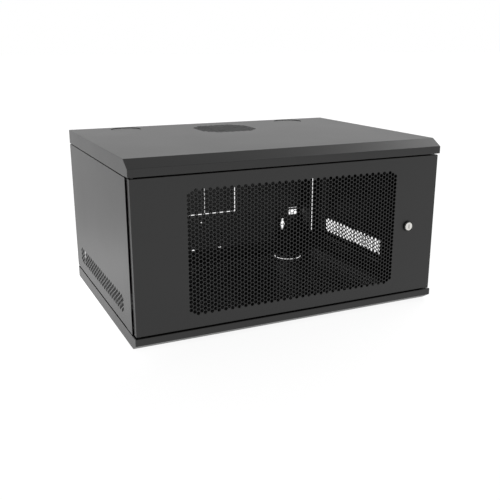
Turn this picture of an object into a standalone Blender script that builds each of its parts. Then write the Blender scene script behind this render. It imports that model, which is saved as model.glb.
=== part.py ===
"""A 6U wall-mount network cabinet for 19-inch equipment, as separate named solids.

The frame: +X to the right seen from the front, +Y to the back, +Z up, metres.
The origin is under the middle of the whole object's box, on the base's underside.
"""
from math import cos, pi, radians, sin, sqrt, tan, atan2

import bmesh
import bpy
from mathutils import Matrix, Vector

# ---- driving dimensions --------------------------------------------------------------
WIDTH = 0.600            # over the side panels, the cover and the base
BODY_DEPTH = 0.443       # cover's front lip to the rear panel
HEIGHT = 0.318
LOCK_PROUD = 0.0018      # the lock stands this far in front of the cover's lip
SHEET = 0.0012           # covers, base, door and panels
FRAME_SHEET = 0.0015     # posts, brackets and rails
GAP = 0.0003             # between pieces that rest on or sit in each other

COVER_HEIGHT = 0.0268
COVER_CHAMFER = (0.0224, 0.0131)      # depth, height
BASE_HEIGHT = 0.0235
BASE_CHAMFER = (0.0183, 0.0113)
LIP_RETURN = 0.017       # the inward fold that carries the door's hinge pins

DOOR_SETBACK = 0.0022    # behind the cover's lip
DOOR_SIDE_GAP = 0.0026
DOOR_DEPTH = 0.0118
DOOR_Z = (0.0254, 0.2890)
MESH_HALF_WIDTH = 0.2064
MESH_HALF_HEIGHT = 0.1095

SIDE_SETBACK = 0.0181    # the side panel's front edge behind the cover's lip
SIDE_Z = (0.0261, 0.2892)
SIDE_RETURN = 0.015
VENT_Y = (-0.1561, 0.1789)
VENT_Z = (0.0465, 0.0788)

UNIT = 0.04445           # one rack unit
UNITS = 6
RAIL_INNER = 0.225       # half of the 450 mm opening between the rails
RAIL_HOLE_X = 0.23255    # half of the 465.1 mm between the rows of holes
RAIL_HOLE = 0.0095
RAIL_FACE_BACK = 0.0675  # the rails' front face behind the cover's lip
RAIL_WEB_X = 0.2590
RAIL_WEB_DEPTH = 0.042

KNOCKOUT_RADIUS = 0.031
TOP_PUSH = 0.0012        # how far the semi-sheared blanks are pushed inward
FLOOR_PUSH = 0.0015
TOP_KNOCKOUT = (0.190, 0.1829)
FLOOR_KNOCKOUT = (0.185, 0.1629)
FAN_CENTRE = (0.002, 0.1114)
FAN_HALF = 0.060
FAN_CORNER = 0.027

REAR_HALF = 0.2847
REAR_Z = (0.0240, 0.2907)
REAR_RETURN = 0.012
ENTRY_CENTRE_X = -0.0029
ENTRY_HALF = 0.0771
ENTRY_Z = (0.1083, 0.2100)
ENTRY_SLIT = 0.0020
KEYHOLE_X = 0.2005
KEYHOLE_Z = 0.0640
TIE_X = (0.2170, 0.2400)
TIE_WINDOW_Z = (0.0855, 0.0980)      # lower ones; the upper ones are their mirror image
TIE_SLOT_Z = (0.1020, 0.1035)
WALL_PLATE_X = (0.1840, 0.2475)
WALL_PLATE_Z = (0.0257, 0.1060)

HINGE_INSET = 0.0064     # the hinge axis, from the door's left and back faces
PIN_RADIUS = 0.0025
PIN_TRAVEL = 0.006
LOCK_X = 0.2375
BEZEL_RADIUS = 0.0100
PLUG_RADIUS = 0.0078
BARREL_RADIUS = 0.0088

# ---- places worked out from them -----------------------------------------------------
HALF = WIDTH / 2
Y_LIP = -(BODY_DEPTH + LOCK_PROUD) / 2 + LOCK_PROUD
Y_REAR = Y_LIP + BODY_DEPTH
COVER_Z = HEIGHT - COVER_HEIGHT
DOOR_Y = Y_LIP + DOOR_SETBACK
DOOR_BACK = DOOR_Y + DOOR_DEPTH
DOOR_HALF = HALF - DOOR_SIDE_GAP
DOOR_MID = sum(DOOR_Z) / 2
SIDE_Y = Y_LIP + SIDE_SETBACK
POST_X = HALF - SHEET - 0.0064         # leaves a dark channel behind the panel's front edge
POST_FRONT = SIDE_Y + SHEET + 0.0004
POST_REAR = Y_REAR - SHEET - 0.0004
POST_LEG = 0.030
FRONT_POST_INNER = 0.262
RAIL_Y = Y_LIP + RAIL_FACE_BACK
RAIL_MID = (BASE_HEIGHT + COVER_Z) / 2
RAIL_Z = (RAIL_MID - UNITS * UNIT / 2, RAIL_MID + UNITS * UNIT / 2)
BRACKET_Z = (SIDE_Z[0] + 0.0024, SIDE_Z[1] - 0.0024)   # outer faces, inside the side panels' folds
BRACKET_WEB = 0.022
BRACKET_X = RAIL_WEB_X + GAP
REAR_POST_X = 0.2480
REAR_POST_LEGS = (0.0335, 0.022)     # on the rear panel, and forward
CROSSBAR_Z = ((0.0015, 0.0350), (0.2800, 0.3140))
CROSSBAR_LEG = 0.015
HINGE_X = -DOOR_HALF + HINGE_INSET
HINGE_Y = DOOR_BACK - HINGE_INSET
LOCK_FRONT = Y_LIP - LOCK_PROUD
ALONG_X = Matrix.Rotation(pi / 2, 4, "Y")
ALONG_Y = Matrix.Rotation(-pi / 2, 4, "X")
PROFILE_YZ = Matrix(((0, 0, 1, 0), (1, 0, 0, 0), (0, 1, 0, 0), (0, 0, 0, 1)))
PROFILE_ZX = Matrix(((0, 1, 0, 0), (0, 0, 1, 0), (1, 0, 0, 0), (0, 0, 0, 1)))

# colour, roughness, metallic
BLACK_PAINT = ((0.022, 0.022, 0.024), 0.38, 0.0)
FRAME_PAINT = ((0.020, 0.020, 0.021), 0.45, 0.0)
ZINC = ((0.62, 0.62, 0.60), 0.35, 1.0)
NICKEL = ((0.78, 0.76, 0.72), 0.22, 1.0)
BLACK_DIECAST = ((0.015, 0.015, 0.016), 0.30, 0.0)


# ---- helpers -------------------------------------------------------------------------
def clear_scene():
    """Remove every object that the start-up file holds."""
    for thing in list(bpy.data.objects):
        bpy.data.objects.remove(thing, do_unlink=True)


def new_collection(name):
    """Make a collection under the scene's own."""
    collection = bpy.data.collections.new(name)
    bpy.context.scene.collection.children.link(collection)
    return collection


def add_mesh(name, bm, collection):
    """Turn a bmesh into a flat-shaded object."""
    mesh = bpy.data.meshes.new(name)
    bm.to_mesh(mesh)
    bm.free()
    thing = bpy.data.objects.new(name, mesh)
    collection.objects.link(thing)
    return thing


def part(name, thing, finish):
    """Name a solid and give it a material of its own."""
    colour, roughness, metallic = finish
    thing.name = name
    material = bpy.data.materials.new(name + "_finish")
    material.use_nodes = True
    shader = material.node_tree.nodes["Principled BSDF"]
    shader.inputs["Base Color"].default_value = (*colour, 1.0)
    shader.inputs["Roughness"].default_value = roughness
    shader.inputs["Metallic"].default_value = metallic
    thing.data.materials.clear()
    thing.data.materials.append(material)
    return thing


def box(low, high, collection):
    """A box between two corners."""
    low, high = Vector(low), Vector(high)
    bm = bmesh.new()
    place = Matrix.Translation((low + high) / 2) @ Matrix.Diagonal((*(high - low), 1.0))
    bmesh.ops.create_cube(bm, size=1.0, matrix=place)
    return add_mesh("box", bm, collection)


def mirrored_box(low, high, side, collection):
    """A box given on the +X side, moved to the side that is asked for."""
    xs = sorted((side * low[0], side * high[0]))
    return box((xs[0], *low[1:]), (xs[1], *high[1:]), collection)


def rods(places, radius, length, turn, collection, sides=24):
    """Equal cylinders or prisms, one centred on each place, lying along one axis."""
    bm = bmesh.new()
    for place in places:
        bmesh.ops.create_cone(
            bm, cap_ends=True, segments=sides, radius1=radius, radius2=radius,
            depth=length, matrix=Matrix.Translation(place) @ turn)
    return add_mesh("rods", bm, collection)


def extrusion(outline, length, turn, centre, collection):
    """A flat closed outline with thickness, turned into place and made a mesh."""
    curve = bpy.data.curves.new("outline", "CURVE")
    curve.dimensions = "2D"
    curve.fill_mode = "BOTH"
    curve.extrude = length / 2
    spline = curve.splines.new("POLY")
    spline.points.add(len(outline) - 1)
    for point, (across, up) in zip(spline.points, outline):
        point.co = (across, up, 0.0, 1.0)
    spline.use_cyclic_u = True
    flat = bpy.data.objects.new("outline", curve)
    collection.objects.link(flat)
    flat.matrix_world = Matrix.Translation(centre) @ turn
    bpy.context.view_layer.update()
    evaluated = flat.evaluated_get(bpy.context.evaluated_depsgraph_get())
    bm = bmesh.new()
    bm.from_mesh(bpy.data.meshes.new_from_object(evaluated))
    bmesh.ops.remove_doubles(bm, verts=bm.verts, dist=1e-6)
    bmesh.ops.transform(bm, matrix=flat.matrix_world, verts=bm.verts)
    bmesh.ops.recalc_face_normals(bm, faces=bm.faces)
    bpy.data.objects.remove(flat, do_unlink=True)
    return add_mesh("extrusion", bm, collection)


def boolean(thing, tool, operation):
    """Cut or join a tool, which is kept out of the build."""
    modifier = thing.modifiers.new(operation.lower(), "BOOLEAN")
    modifier.operation = operation
    modifier.solver = "EXACT"
    modifier.object = tool
    tool.hide_render = True
    tool.display_type = "WIRE"


def cut(thing, *tools):
    """Take each tool's shape out of a solid."""
    for tool in tools:
        boolean(thing, tool, "DIFFERENCE")


def join(thing, *tools):
    """Add each tool's shape to a solid."""
    for tool in tools:
        boolean(thing, tool, "UNION")


def hex_field(centre, half, pitch, inside):
    """Centres of a staggered hole field: odd columns are shifted by half a pitch."""
    across = pitch * sqrt(3) / 2
    columns = int(half[0] / across)
    rows = int(half[1] / pitch)
    places = []
    for column in range(-columns, columns + 1):
        shift = pitch / 2 if column % 2 else 0.0
        for row in range(-rows, rows + 1):
            u, v = column * across, row * pitch + shift
            if inside(u, v):
                places.append((centre[0] + u, centre[1] + v))
    return places


def cover_outline(chamfer, height):
    """The cover's side view, front lip at 0 and top at 0, going down to -height."""
    depth, drop = chamfer
    return [(0.0, -height), (0.0, -drop), (depth, 0.0), (BODY_DEPTH, 0.0), (BODY_DEPTH, -height)]


def cover_hollow(chamfer, height):
    """What is inside the folded sheet, with the lip's inward return left standing."""
    depth, drop = chamfer
    slope = atan2(drop, depth)
    lip_top = -drop - SHEET * tan((pi / 2 - slope) / 2)
    top_front = depth + SHEET * tan(slope / 2)
    low, back = -height - SHEET, BODY_DEPTH - SHEET
    return [(LIP_RETURN, low), (LIP_RETURN, SHEET - height), (SHEET, SHEET - height),
            (SHEET, lip_top), (top_front, -SHEET), (back, -SHEET), (back, low)]


def folded_tray(chamfer, height, z, up, parts, tools):
    """The top cover (up = 1) or the base (up = -1): one sheet folded on every edge."""
    def placed(points):
        return [(Y_LIP + y, z + up * drop) for y, drop in points]
    middle = (0.0, 0.0, 0.0)
    tray = extrusion(placed(cover_outline(chamfer, height)), WIDTH, PROFILE_YZ, middle, parts)
    inner = extrusion(placed(cover_hollow(chamfer, height)), WIDTH - 2 * SHEET,
                      PROFILE_YZ, middle, tools)
    cut(tray, inner)
    return tray


def knockout_holes(place, z, tools):
    """The two round openings that the blanks close."""
    x, y = place
    return rods([(-x, y, z), (x, y, z)], KNOCKOUT_RADIUS, 4 * SHEET, Matrix(), tools, 40)


def knockout(name, place, z, parts, tools):
    """A semi-sheared round blank with the two small webs that still hold it."""
    x, y = place
    blank = rods([(x, y, z)], KNOCKOUT_RADIUS - 0.0007, SHEET, Matrix(), parts, 40)
    web = (KNOCKOUT_RADIUS - GAP, 0.0025, SHEET / 2)
    tabs = box((x - web[0], y - web[1], z - web[2]), (x + web[0], y + web[1], z + web[2]), tools)
    join(blank, tabs)
    return part(name, blank, BLACK_PAINT)


# ---- the folded casing ---------------------------------------------------------------
def make_top_cover(parts, tools):
    """The top cover with its fan grille, two blanked cable holes and a hinge hole."""
    cover = folded_tray(COVER_CHAMFER, COVER_HEIGHT, HEIGHT, 1, parts, tools)

    def in_octagon(u, v):
        reach = FAN_HALF - 0.006
        return max(abs(u), abs(v)) < reach and abs(u) + abs(v) < 2 * FAN_HALF - FAN_CORNER - 0.008
    centres = hex_field(FAN_CENTRE, (FAN_HALF, FAN_HALF), 0.022, in_octagon)
    z = HEIGHT - SHEET / 2
    grille = rods([(x, y, z) for x, y in centres], 0.0085, 4 * SHEET, Matrix(), tools, 6)
    pin_hole = rods([(HINGE_X, HINGE_Y, COVER_Z + SHEET / 2)], PIN_RADIUS + GAP, 3 * SHEET,
                    Matrix(), tools, 20)
    cut(cover, knockout_holes(TOP_KNOCKOUT, z, tools), grille, pin_hole)
    part("top_cover", cover, BLACK_PAINT)
    for side, word in ((-1, "left"), (1, "right")):
        knockout("top_knockout_" + word, (side * TOP_KNOCKOUT[0], TOP_KNOCKOUT[1]),
                 z - TOP_PUSH, parts, tools)


def make_base_pan(parts, tools):
    """The base with its two blanked cable holes and the lower hinge hole."""
    base = folded_tray(BASE_CHAMFER, BASE_HEIGHT, 0.0, -1, parts, tools)
    z = SHEET / 2
    pin_hole = rods([(HINGE_X, HINGE_Y, BASE_HEIGHT - SHEET / 2)], PIN_RADIUS + GAP, 3 * SHEET,
                    Matrix(), tools, 20)
    cut(base, knockout_holes(FLOOR_KNOCKOUT, z, tools), pin_hole)
    part("base_pan", base, BLACK_PAINT)
    for side, word in ((-1, "left"), (1, "right")):
        knockout("floor_knockout_" + word, (side * FLOOR_KNOCKOUT[0], FLOOR_KNOCKOUT[1]),
                 z + FLOOR_PUSH, parts, tools)


def at_level(zs, level):
    """Heights given for the lower level, or their mirror image at the upper one."""
    return tuple(zs) if level == "lower" else tuple(sorted(sum(REAR_Z) - z for z in zs))


def corner_openings(side, level, tools):
    """The openings near one rear corner: a keyhole, a tie window and a thin tie slot.

    The keyhole is a round hole with a slot above and below it, for hanging either way up.
    Between the window and the slot a narrow strap is left, for a cable tie.
    """
    y0, y1 = Y_REAR - 5 * SHEET, Y_REAR + 3 * SHEET
    x = side * KEYHOLE_X
    z, = at_level([KEYHOLE_Z], level)
    shapes = [rods([(x, (y0 + y1) / 2, z)], 0.0065, y1 - y0, ALONG_Y, tools, 20),
              box((x - 0.0032, y0, z - 0.014), (x + 0.0032, y1, z + 0.014), tools)]
    for zs in (TIE_WINDOW_Z, TIE_SLOT_Z):
        low, high = at_level(zs, level)
        shapes.append(mirrored_box((TIE_X[0], y0, low), (TIE_X[1], y1, high), side, tools))
    return shapes


def make_wall_plates(panel, parts, tools):
    """A stiffening plate behind each keyhole; its openings go through the rear panel too."""
    back = Y_REAR - SHEET - GAP
    for side, word in ((-1, "left"), (1, "right")):
        for level in ("lower", "upper"):
            low, high = at_level(WALL_PLATE_Z, level)
            plate = mirrored_box((WALL_PLATE_X[0], back - FRAME_SHEET, low),
                                 (WALL_PLATE_X[1], back, high), side, parts)
            openings = corner_openings(side, level, tools)
            cut(plate, *openings)
            cut(panel, *openings)
            part("wall_plate_" + level + "_" + word, plate, FRAME_PAINT)


def make_rear_panel(parts, tools):
    """The rear panel: folds between the posts, cable entry, keyholes and open edge slits."""
    panel = box((-REAR_HALF, Y_REAR - REAR_RETURN, REAR_Z[0]),
                (REAR_HALF, Y_REAR, REAR_Z[1]), parts)
    fold_ends = [mirrored_box((WALL_PLATE_X[1], Y_REAR - 2 * REAR_RETURN, 0.0),
                              (HALF, Y_REAR - SHEET, HEIGHT), side, tools) for side in (-1, 1)]
    hollow = box((-HALF, Y_REAR - 2 * REAR_RETURN, REAR_Z[0] + SHEET),
                 (HALF, Y_REAR - SHEET, REAR_Z[1] - SHEET), tools)
    y0, y1 = Y_REAR - 3 * SHEET, Y_REAR + SHEET
    entry = box((ENTRY_CENTRE_X - ENTRY_HALF, y0, ENTRY_Z[0]),
                (ENTRY_CENTRE_X + ENTRY_HALF, y1, ENTRY_Z[1]), tools)
    slit_z = (0.0395, sum(REAR_Z) - 0.0395)
    slits = [mirrored_box((REAR_HALF - 0.0018, y0, slit_z[0]), (HALF, y1, slit_z[1]), side, tools)
             for side in (-1, 1)]
    notches = [box((x - 0.0030, Y_REAR - 2 * REAR_RETURN, REAR_Z[0] - SHEET),
                   (x + 0.0030, y1, REAR_Z[0] + 0.0020), tools) for x in (-0.0335, 0.0335)]
    earth_hole = rods([(-0.0118, Y_REAR, 0.0895)], 0.0016, 4 * SHEET, ALONG_Y, tools, 12)
    cut(panel, hollow, *fold_ends, entry, *slits, *notches, earth_hole)
    make_wall_plates(panel, parts, tools)
    part("rear_panel", panel, BLACK_PAINT)


def make_rear_knockouts(parts, tools):
    """Two plates that blank the rear cable entry, each held by two small webs on top."""
    y0, y1 = Y_REAR - SHEET, Y_REAR
    half_slit = ENTRY_SLIT / 4
    for side, word in ((-1, "left"), (1, "right")):
        xs = sorted(ENTRY_CENTRE_X + side * reach for reach in (half_slit, ENTRY_HALF - ENTRY_SLIT))
        plate = box((xs[0], y0, ENTRY_Z[0] + ENTRY_SLIT), (xs[1], y1, ENTRY_Z[1] - ENTRY_SLIT), parts)
        for share in (0.25, 0.75):
            x = xs[0] + share * (xs[1] - xs[0])
            join(plate, box((x - 0.0015, y0, ENTRY_Z[1] - 2 * ENTRY_SLIT),
                            (x + 0.0015, y1, ENTRY_Z[1] - GAP), tools))
        part("rear_knockout_" + word, plate, BLACK_PAINT)


def make_side_panel(side, word, parts, tools):
    """A side panel, plain in front and folded in on its other edges, with its vent holes."""
    panel = mirrored_box((HALF - SIDE_RETURN, SIDE_Y, SIDE_Z[0]), (HALF, Y_REAR, SIDE_Z[1]),
                         side, parts)
    inner, web = HALF - 2 * SIDE_RETURN, HALF - SHEET
    hollow = mirrored_box((inner, SIDE_Y - SHEET, SIDE_Z[0] + SHEET),
                          (web, Y_REAR - SHEET, SIDE_Z[1] - SHEET), side, tools)
    clear = mirrored_box((inner, SIDE_Y - SHEET, SIDE_Z[0] - SHEET),
                         (web, POST_FRONT + POST_LEG + 0.0014, SIDE_Z[1] + SHEET), side, tools)
    slots, length = 12, VENT_Y[1] - VENT_Y[0]
    pitch = length / slots
    vents = []
    for slot in range(slots):
        y = VENT_Y[0] + (slot + 0.5) * pitch
        vents.append(mirrored_box((web - SHEET, y - 0.3 * pitch, VENT_Z[0]),
                                  (HALF + SHEET, y + 0.3 * pitch, VENT_Z[1]), side, tools))
    cut(panel, hollow, clear, *vents)
    part(word + "_side_panel", panel, BLACK_PAINT)


# ---- the frame inside ----------------------------------------------------------------
def angle_outline(corner, leg_x, leg_y):
    """An L-section from its outer corner; signed legs say which way each one runs."""
    x, y = corner
    sx, sy = (1 if leg_x > 0 else -1), (1 if leg_y > 0 else -1)
    t = FRAME_SHEET
    return [(x, y), (x + leg_x, y), (x + leg_x, y + sy * t), (x + sx * t, y + sy * t),
            (x + sx * t, y + leg_y), (x, y + leg_y)]


def make_posts(side, word, parts):
    """The front and rear corner posts of one side."""
    low, rear_top, front_top = SHEET + GAP, HEIGHT - SHEET - GAP, 0.3140
    shapes = (
        ("front_post_", (side * POST_X, POST_FRONT), side * (FRONT_POST_INNER - POST_X),
         POST_LEG, front_top),
        ("rear_post_", (side * REAR_POST_X, POST_REAR), side * REAR_POST_LEGS[0],
         -REAR_POST_LEGS[1], rear_top))
    for stem, corner, leg_x, leg_y, top in shapes:
        post = extrusion(angle_outline(corner, leg_x, leg_y), top - low, Matrix(),
                         (0, 0, (top + low) / 2), parts)
        part(stem + word, post, FRAME_PAINT)


def make_crossbars(parts):
    """The two angles that close the front between the posts, above and below the door."""
    (low, low_top), (high_base, high) = CROSSBAR_Z
    for level, z, up in (("lower", low, low_top - low), ("upper", high, high_base - high)):
        outline = angle_outline((POST_FRONT, z), CROSSBAR_LEG, up)
        bar = extrusion(outline, 2 * (FRONT_POST_INNER - GAP), PROFILE_YZ, (0, 0, 0), parts)
        part("front_crossbar_" + level, bar, FRAME_PAINT)


def bolt_places(side):
    """Where a rail is bolted to the lower and the upper bracket."""
    y, rise = RAIL_Y + RAIL_WEB_DEPTH / 2, BRACKET_WEB / 2
    return (("lower_", Vector((side * BRACKET_X, y, BRACKET_Z[0] + rise))),
            ("upper_", Vector((side * BRACKET_X, y, BRACKET_Z[1] - rise))))


def make_brackets(side, word, parts, tools):
    """The two depth brackets of one side, from the front post to the rear post."""
    y0, y1 = POST_FRONT + FRAME_SHEET + 0.0019, POST_REAR - FRAME_SHEET - 0.0022
    reach = POST_X - FRAME_SHEET - GAP - BRACKET_X
    for (level, bolt), z, up in zip(bolt_places(side), BRACKET_Z, (1, -1)):
        outline = [(b, a) for a, b in angle_outline((side * BRACKET_X, z), side * reach,
                                                    up * BRACKET_WEB)]
        bracket = extrusion(outline, y1 - y0, PROFILE_ZX, (0, (y0 + y1) / 2, 0), parts)
        cut(bracket, rods([bolt], 0.0033, 0.012, ALONG_X, tools, 16))
        part("depth_bracket_" + level + word, bracket, FRAME_PAINT)


def make_rail(side, word, parts, tools):
    """A 19-inch mounting rail with three square holes in each rack unit."""
    outline = angle_outline((side * RAIL_WEB_X, RAIL_Y), side * (RAIL_INNER - RAIL_WEB_X),
                            RAIL_WEB_DEPTH)
    rail = extrusion(outline, RAIL_Z[1] - RAIL_Z[0], Matrix(), (0, 0, RAIL_MID), parts)
    bm = bmesh.new()
    for unit in range(UNITS):
        for rise in (0.00635, 0.022225, 0.0381):
            place = Vector((side * RAIL_HOLE_X, RAIL_Y, RAIL_Z[0] + unit * UNIT + rise))
            bmesh.ops.create_cube(bm, size=RAIL_HOLE, matrix=Matrix.Translation(place))
    bolt_holes = rods([place for _, place in bolt_places(side)], 0.0033, 0.012, ALONG_X, tools, 16)
    cut(rail, add_mesh("square_holes", bm, tools), bolt_holes)
    part("rack_rail_" + word, rail, FRAME_PAINT)


def make_rail_bolts(side, word, parts, tools):
    """The bolt and the nut that clamp a rail to each of its brackets."""
    head, shank, nut = 0.004, 0.0125, 0.005
    turn = ALONG_X if side > 0 else Matrix.Rotation(pi, 4, "Z") @ ALONG_X
    for level, place in bolt_places(side):
        inner = place - Vector((side * (GAP + FRAME_SHEET + GAP), 0, 0))
        bolt = rods([inner - Vector((side * head / 2, 0, 0))], 0.0055, head, turn, parts, 6)
        join(bolt, rods([inner + Vector((side * (shank - 0.001) / 2, 0, 0))], 0.003,
                        shank + 0.001, turn, tools, 16))
        part("rail_bolt_" + level + word, bolt, ZINC)
        centre = place + Vector((side * (FRAME_SHEET + GAP + nut / 2), 0, 0))
        ring = rods([centre], 0.0055, nut, turn, parts, 6)
        cut(ring, rods([centre], 0.0033, 2 * nut, turn, tools, 16))
        part("rail_nut_" + level + word, ring, ZINC)


# ---- the door, its hinge pins and its lock ---------------------------------------------
def make_door(parts, tools):
    """The door: a shallow pan whose face is pierced by a coarse stand-in hole field."""
    door = box((-DOOR_HALF, DOOR_Y, DOOR_Z[0]), (DOOR_HALF, DOOR_BACK, DOOR_Z[1]), parts)
    hollow = box((SHEET - DOOR_HALF, DOOR_Y + SHEET, DOOR_Z[0] + SHEET),
                 (DOOR_HALF - SHEET, DOOR_BACK + SHEET, DOOR_Z[1] - SHEET), tools)
    radius = 0.0155

    def in_field(u, v):
        return abs(u) < MESH_HALF_WIDTH - radius and abs(v) < MESH_HALF_HEIGHT - radius
    centres = hex_field((0.0, DOOR_MID), (MESH_HALF_WIDTH, MESH_HALF_HEIGHT), 0.036, in_field)
    y = DOOR_Y + SHEET / 2
    field = rods([(x, y, z) for x, z in centres], radius, 4 * SHEET, ALONG_Y, tools, 6)
    lock_hole = rods([(LOCK_X, y, DOOR_MID)], BARREL_RADIUS + GAP, 4 * SHEET, ALONG_Y, tools, 32)
    pin_holes = rods([(HINGE_X, HINGE_Y, z) for z in DOOR_Z], PIN_RADIUS + GAP, 4 * SHEET,
                     Matrix(), tools, 20)
    cut(door, hollow, field, lock_hole, pin_holes)
    part("door_panel", door, BLACK_PAINT)


def flip(z, up):
    """A height given for the upper hinge, or its mirror image for the lower one."""
    return z if up > 0 else 2 * DOOR_MID - z


def upright_box(low, high, up, collection):
    """A box given at the upper hinge, mirrored in height for the lower one."""
    zs = sorted((flip(low[2], up), flip(high[2], up)))
    return box((*low[:2], zs[0]), (*high[:2], zs[1]), collection)


def make_hinge(up, word, parts, tools):
    """One sprung pin and the two-eared bracket in the door's corner that guides it."""
    x0, x1 = -DOOR_HALF + SHEET + GAP, HINGE_X + 0.0055
    y0, y1 = DOOR_Y + SHEET + GAP, DOOR_BACK - 0.0009
    top, bottom = DOOR_Z[1] - SHEET - 0.0026, DOOR_Z[1] - 0.0265
    bracket = upright_box((x0, y0, bottom), (x0 + SHEET, y1, top), up, parts)
    for z in (bottom, top - FRAME_SHEET):
        join(bracket, upright_box((x0, y0, z), (x1, y1, z + FRAME_SHEET), up, tools))
    middle = flip((top + bottom) / 2, up)
    cut(bracket, rods([(HINGE_X, HINGE_Y, middle)], PIN_RADIUS + GAP, 0.05, Matrix(), tools, 20))
    part("hinge_bracket_" + word, bracket, BLACK_PAINT)

    tip, tail = DOOR_Z[1] + 0.0078, bottom - 0.010
    pin = rods([(HINGE_X, HINGE_Y, flip((tip + tail) / 2, up))], PIN_RADIUS, tip - tail,
               Matrix(), parts, 20)
    collar = top - FRAME_SHEET - GAP - 0.0015
    join(pin, rods([(HINGE_X, HINGE_Y, flip(collar, up))], 0.0033, 0.003, Matrix(), tools, 20),
         rods([(HINGE_X + 0.006, HINGE_Y, flip(tail + 0.002, up))], 0.0019, 0.014, ALONG_X, tools, 16))
    part("hinge_pin_" + word, pin, FRAME_PAINT)


def lock_rod(radius, front, back, collection, sides=32):
    """A cylinder on the lock's axis between two depths behind the lock's face."""
    y = LOCK_FRONT + (front + back) / 2
    return rods([(LOCK_X, y, DOOR_MID)], radius, back - front, ALONG_Y, collection, sides)


def make_lock(parts, tools):
    """The cam lock: barrel with bezel, turning plug, nut, cam and the cam's screw."""
    bezel_back = DOOR_Y - GAP - LOCK_FRONT
    barrel_end = bezel_back + 0.0177
    plug_end = barrel_end + 0.0015
    barrel = lock_rod(BEZEL_RADIUS, 0.0, bezel_back, parts, 40)
    join(barrel, lock_rod(BARREL_RADIUS, 0.002, barrel_end, tools))
    cut(barrel, lock_rod(PLUG_RADIUS + GAP, -0.001, 0.0016, tools, 40),
        lock_rod(0.0065, 0.001, barrel_end + 0.001, tools))
    part("lock_barrel", barrel, BLACK_DIECAST)

    plug = lock_rod(PLUG_RADIUS, 0.0001, 0.0013, parts, 40)
    join(plug, lock_rod(0.0062, 0.001, plug_end, tools), lock_rod(0.0035, plug_end - 0.001,
                                                                  plug_end + 0.0024, tools))
    slot = box((LOCK_X - 0.0007, LOCK_FRONT - 0.001, DOOR_MID - 0.0040),
               (LOCK_X + 0.0007, LOCK_FRONT + 0.0060, DOOR_MID + 0.0040), tools)
    cut(plug, slot, lock_rod(0.0023, plug_end - 0.009, plug_end + 0.003, tools, 16))
    part("lock_plug", plug, NICKEL)

    nut_front = DOOR_Y + SHEET + GAP - LOCK_FRONT
    nut = lock_rod(0.0130, nut_front, nut_front + 0.0035, parts, 6)
    cut(nut, lock_rod(BARREL_RADIUS + GAP, nut_front - 0.001, nut_front + 0.0045, tools))
    part("lock_nut", nut, ZINC)
    make_cam(plug_end + GAP, parts, tools)


def make_cam(front, parts, tools):
    """The cam, hanging down as when unlocked, and the screw that holds it."""
    thick, half, reach = 0.0020, 0.007, 0.034
    rounding = [(DOOR_MID + half * sin(radians(a)), LOCK_X + half * cos(radians(a)))
                for a in range(0, 181, 20)]
    outline = rounding + [(DOOR_MID - reach, LOCK_X - half), (DOOR_MID - reach, LOCK_X + half)]
    y = LOCK_FRONT + front + thick / 2
    cam = extrusion(outline, thick, PROFILE_ZX, (0, y, 0), parts)
    cut(cam, lock_rod(0.0038, front - 0.001, front + thick + 0.001, tools, 24))
    part("lock_cam", cam, ZINC)
    head = front + thick + GAP
    screw = lock_rod(0.0055, head, head + 0.003, parts, 24)
    join(screw, lock_rod(0.0020, head - 0.008, head + 0.001, tools, 16))
    part("cam_screw", screw, ZINC)


def main():
    """Build every piece of the cabinet."""
    clear_scene()
    parts, tools = new_collection("network_cabinet"), new_collection("cutters")
    make_top_cover(parts, tools)
    make_base_pan(parts, tools)
    make_rear_panel(parts, tools)
    make_rear_knockouts(parts, tools)
    make_crossbars(parts)
    for side, word in ((-1, "left"), (1, "right")):
        make_side_panel(side, word, parts, tools)
        make_posts(side, word, parts)
        make_brackets(side, word, parts, tools)
        make_rail(side, word, parts, tools)
        make_rail_bolts(side, word, parts, tools)
    make_door(parts, tools)
    make_hinge(1, "upper", parts, tools)
    make_hinge(-1, "lower", parts, tools)
    make_lock(parts, tools)


main()
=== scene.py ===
"""The looks of a 6U wall-mount network cabinet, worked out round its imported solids.

The frame is the record's: +X to the right seen from the front, +Y to the back, +Z up, in
metres. The casing is folded from painted steel sheet, so most pieces here are one skin, a
flat face with its openings and its folded edges, which is then given the sheet's thickness.
"""
from __future__ import annotations

import logging
from collections.abc import Mapping, Sequence
from dataclasses import dataclass, field
from enum import Enum
from math import atan2, cos, pi, radians, sin, sqrt
from typing import Any, Union

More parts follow.
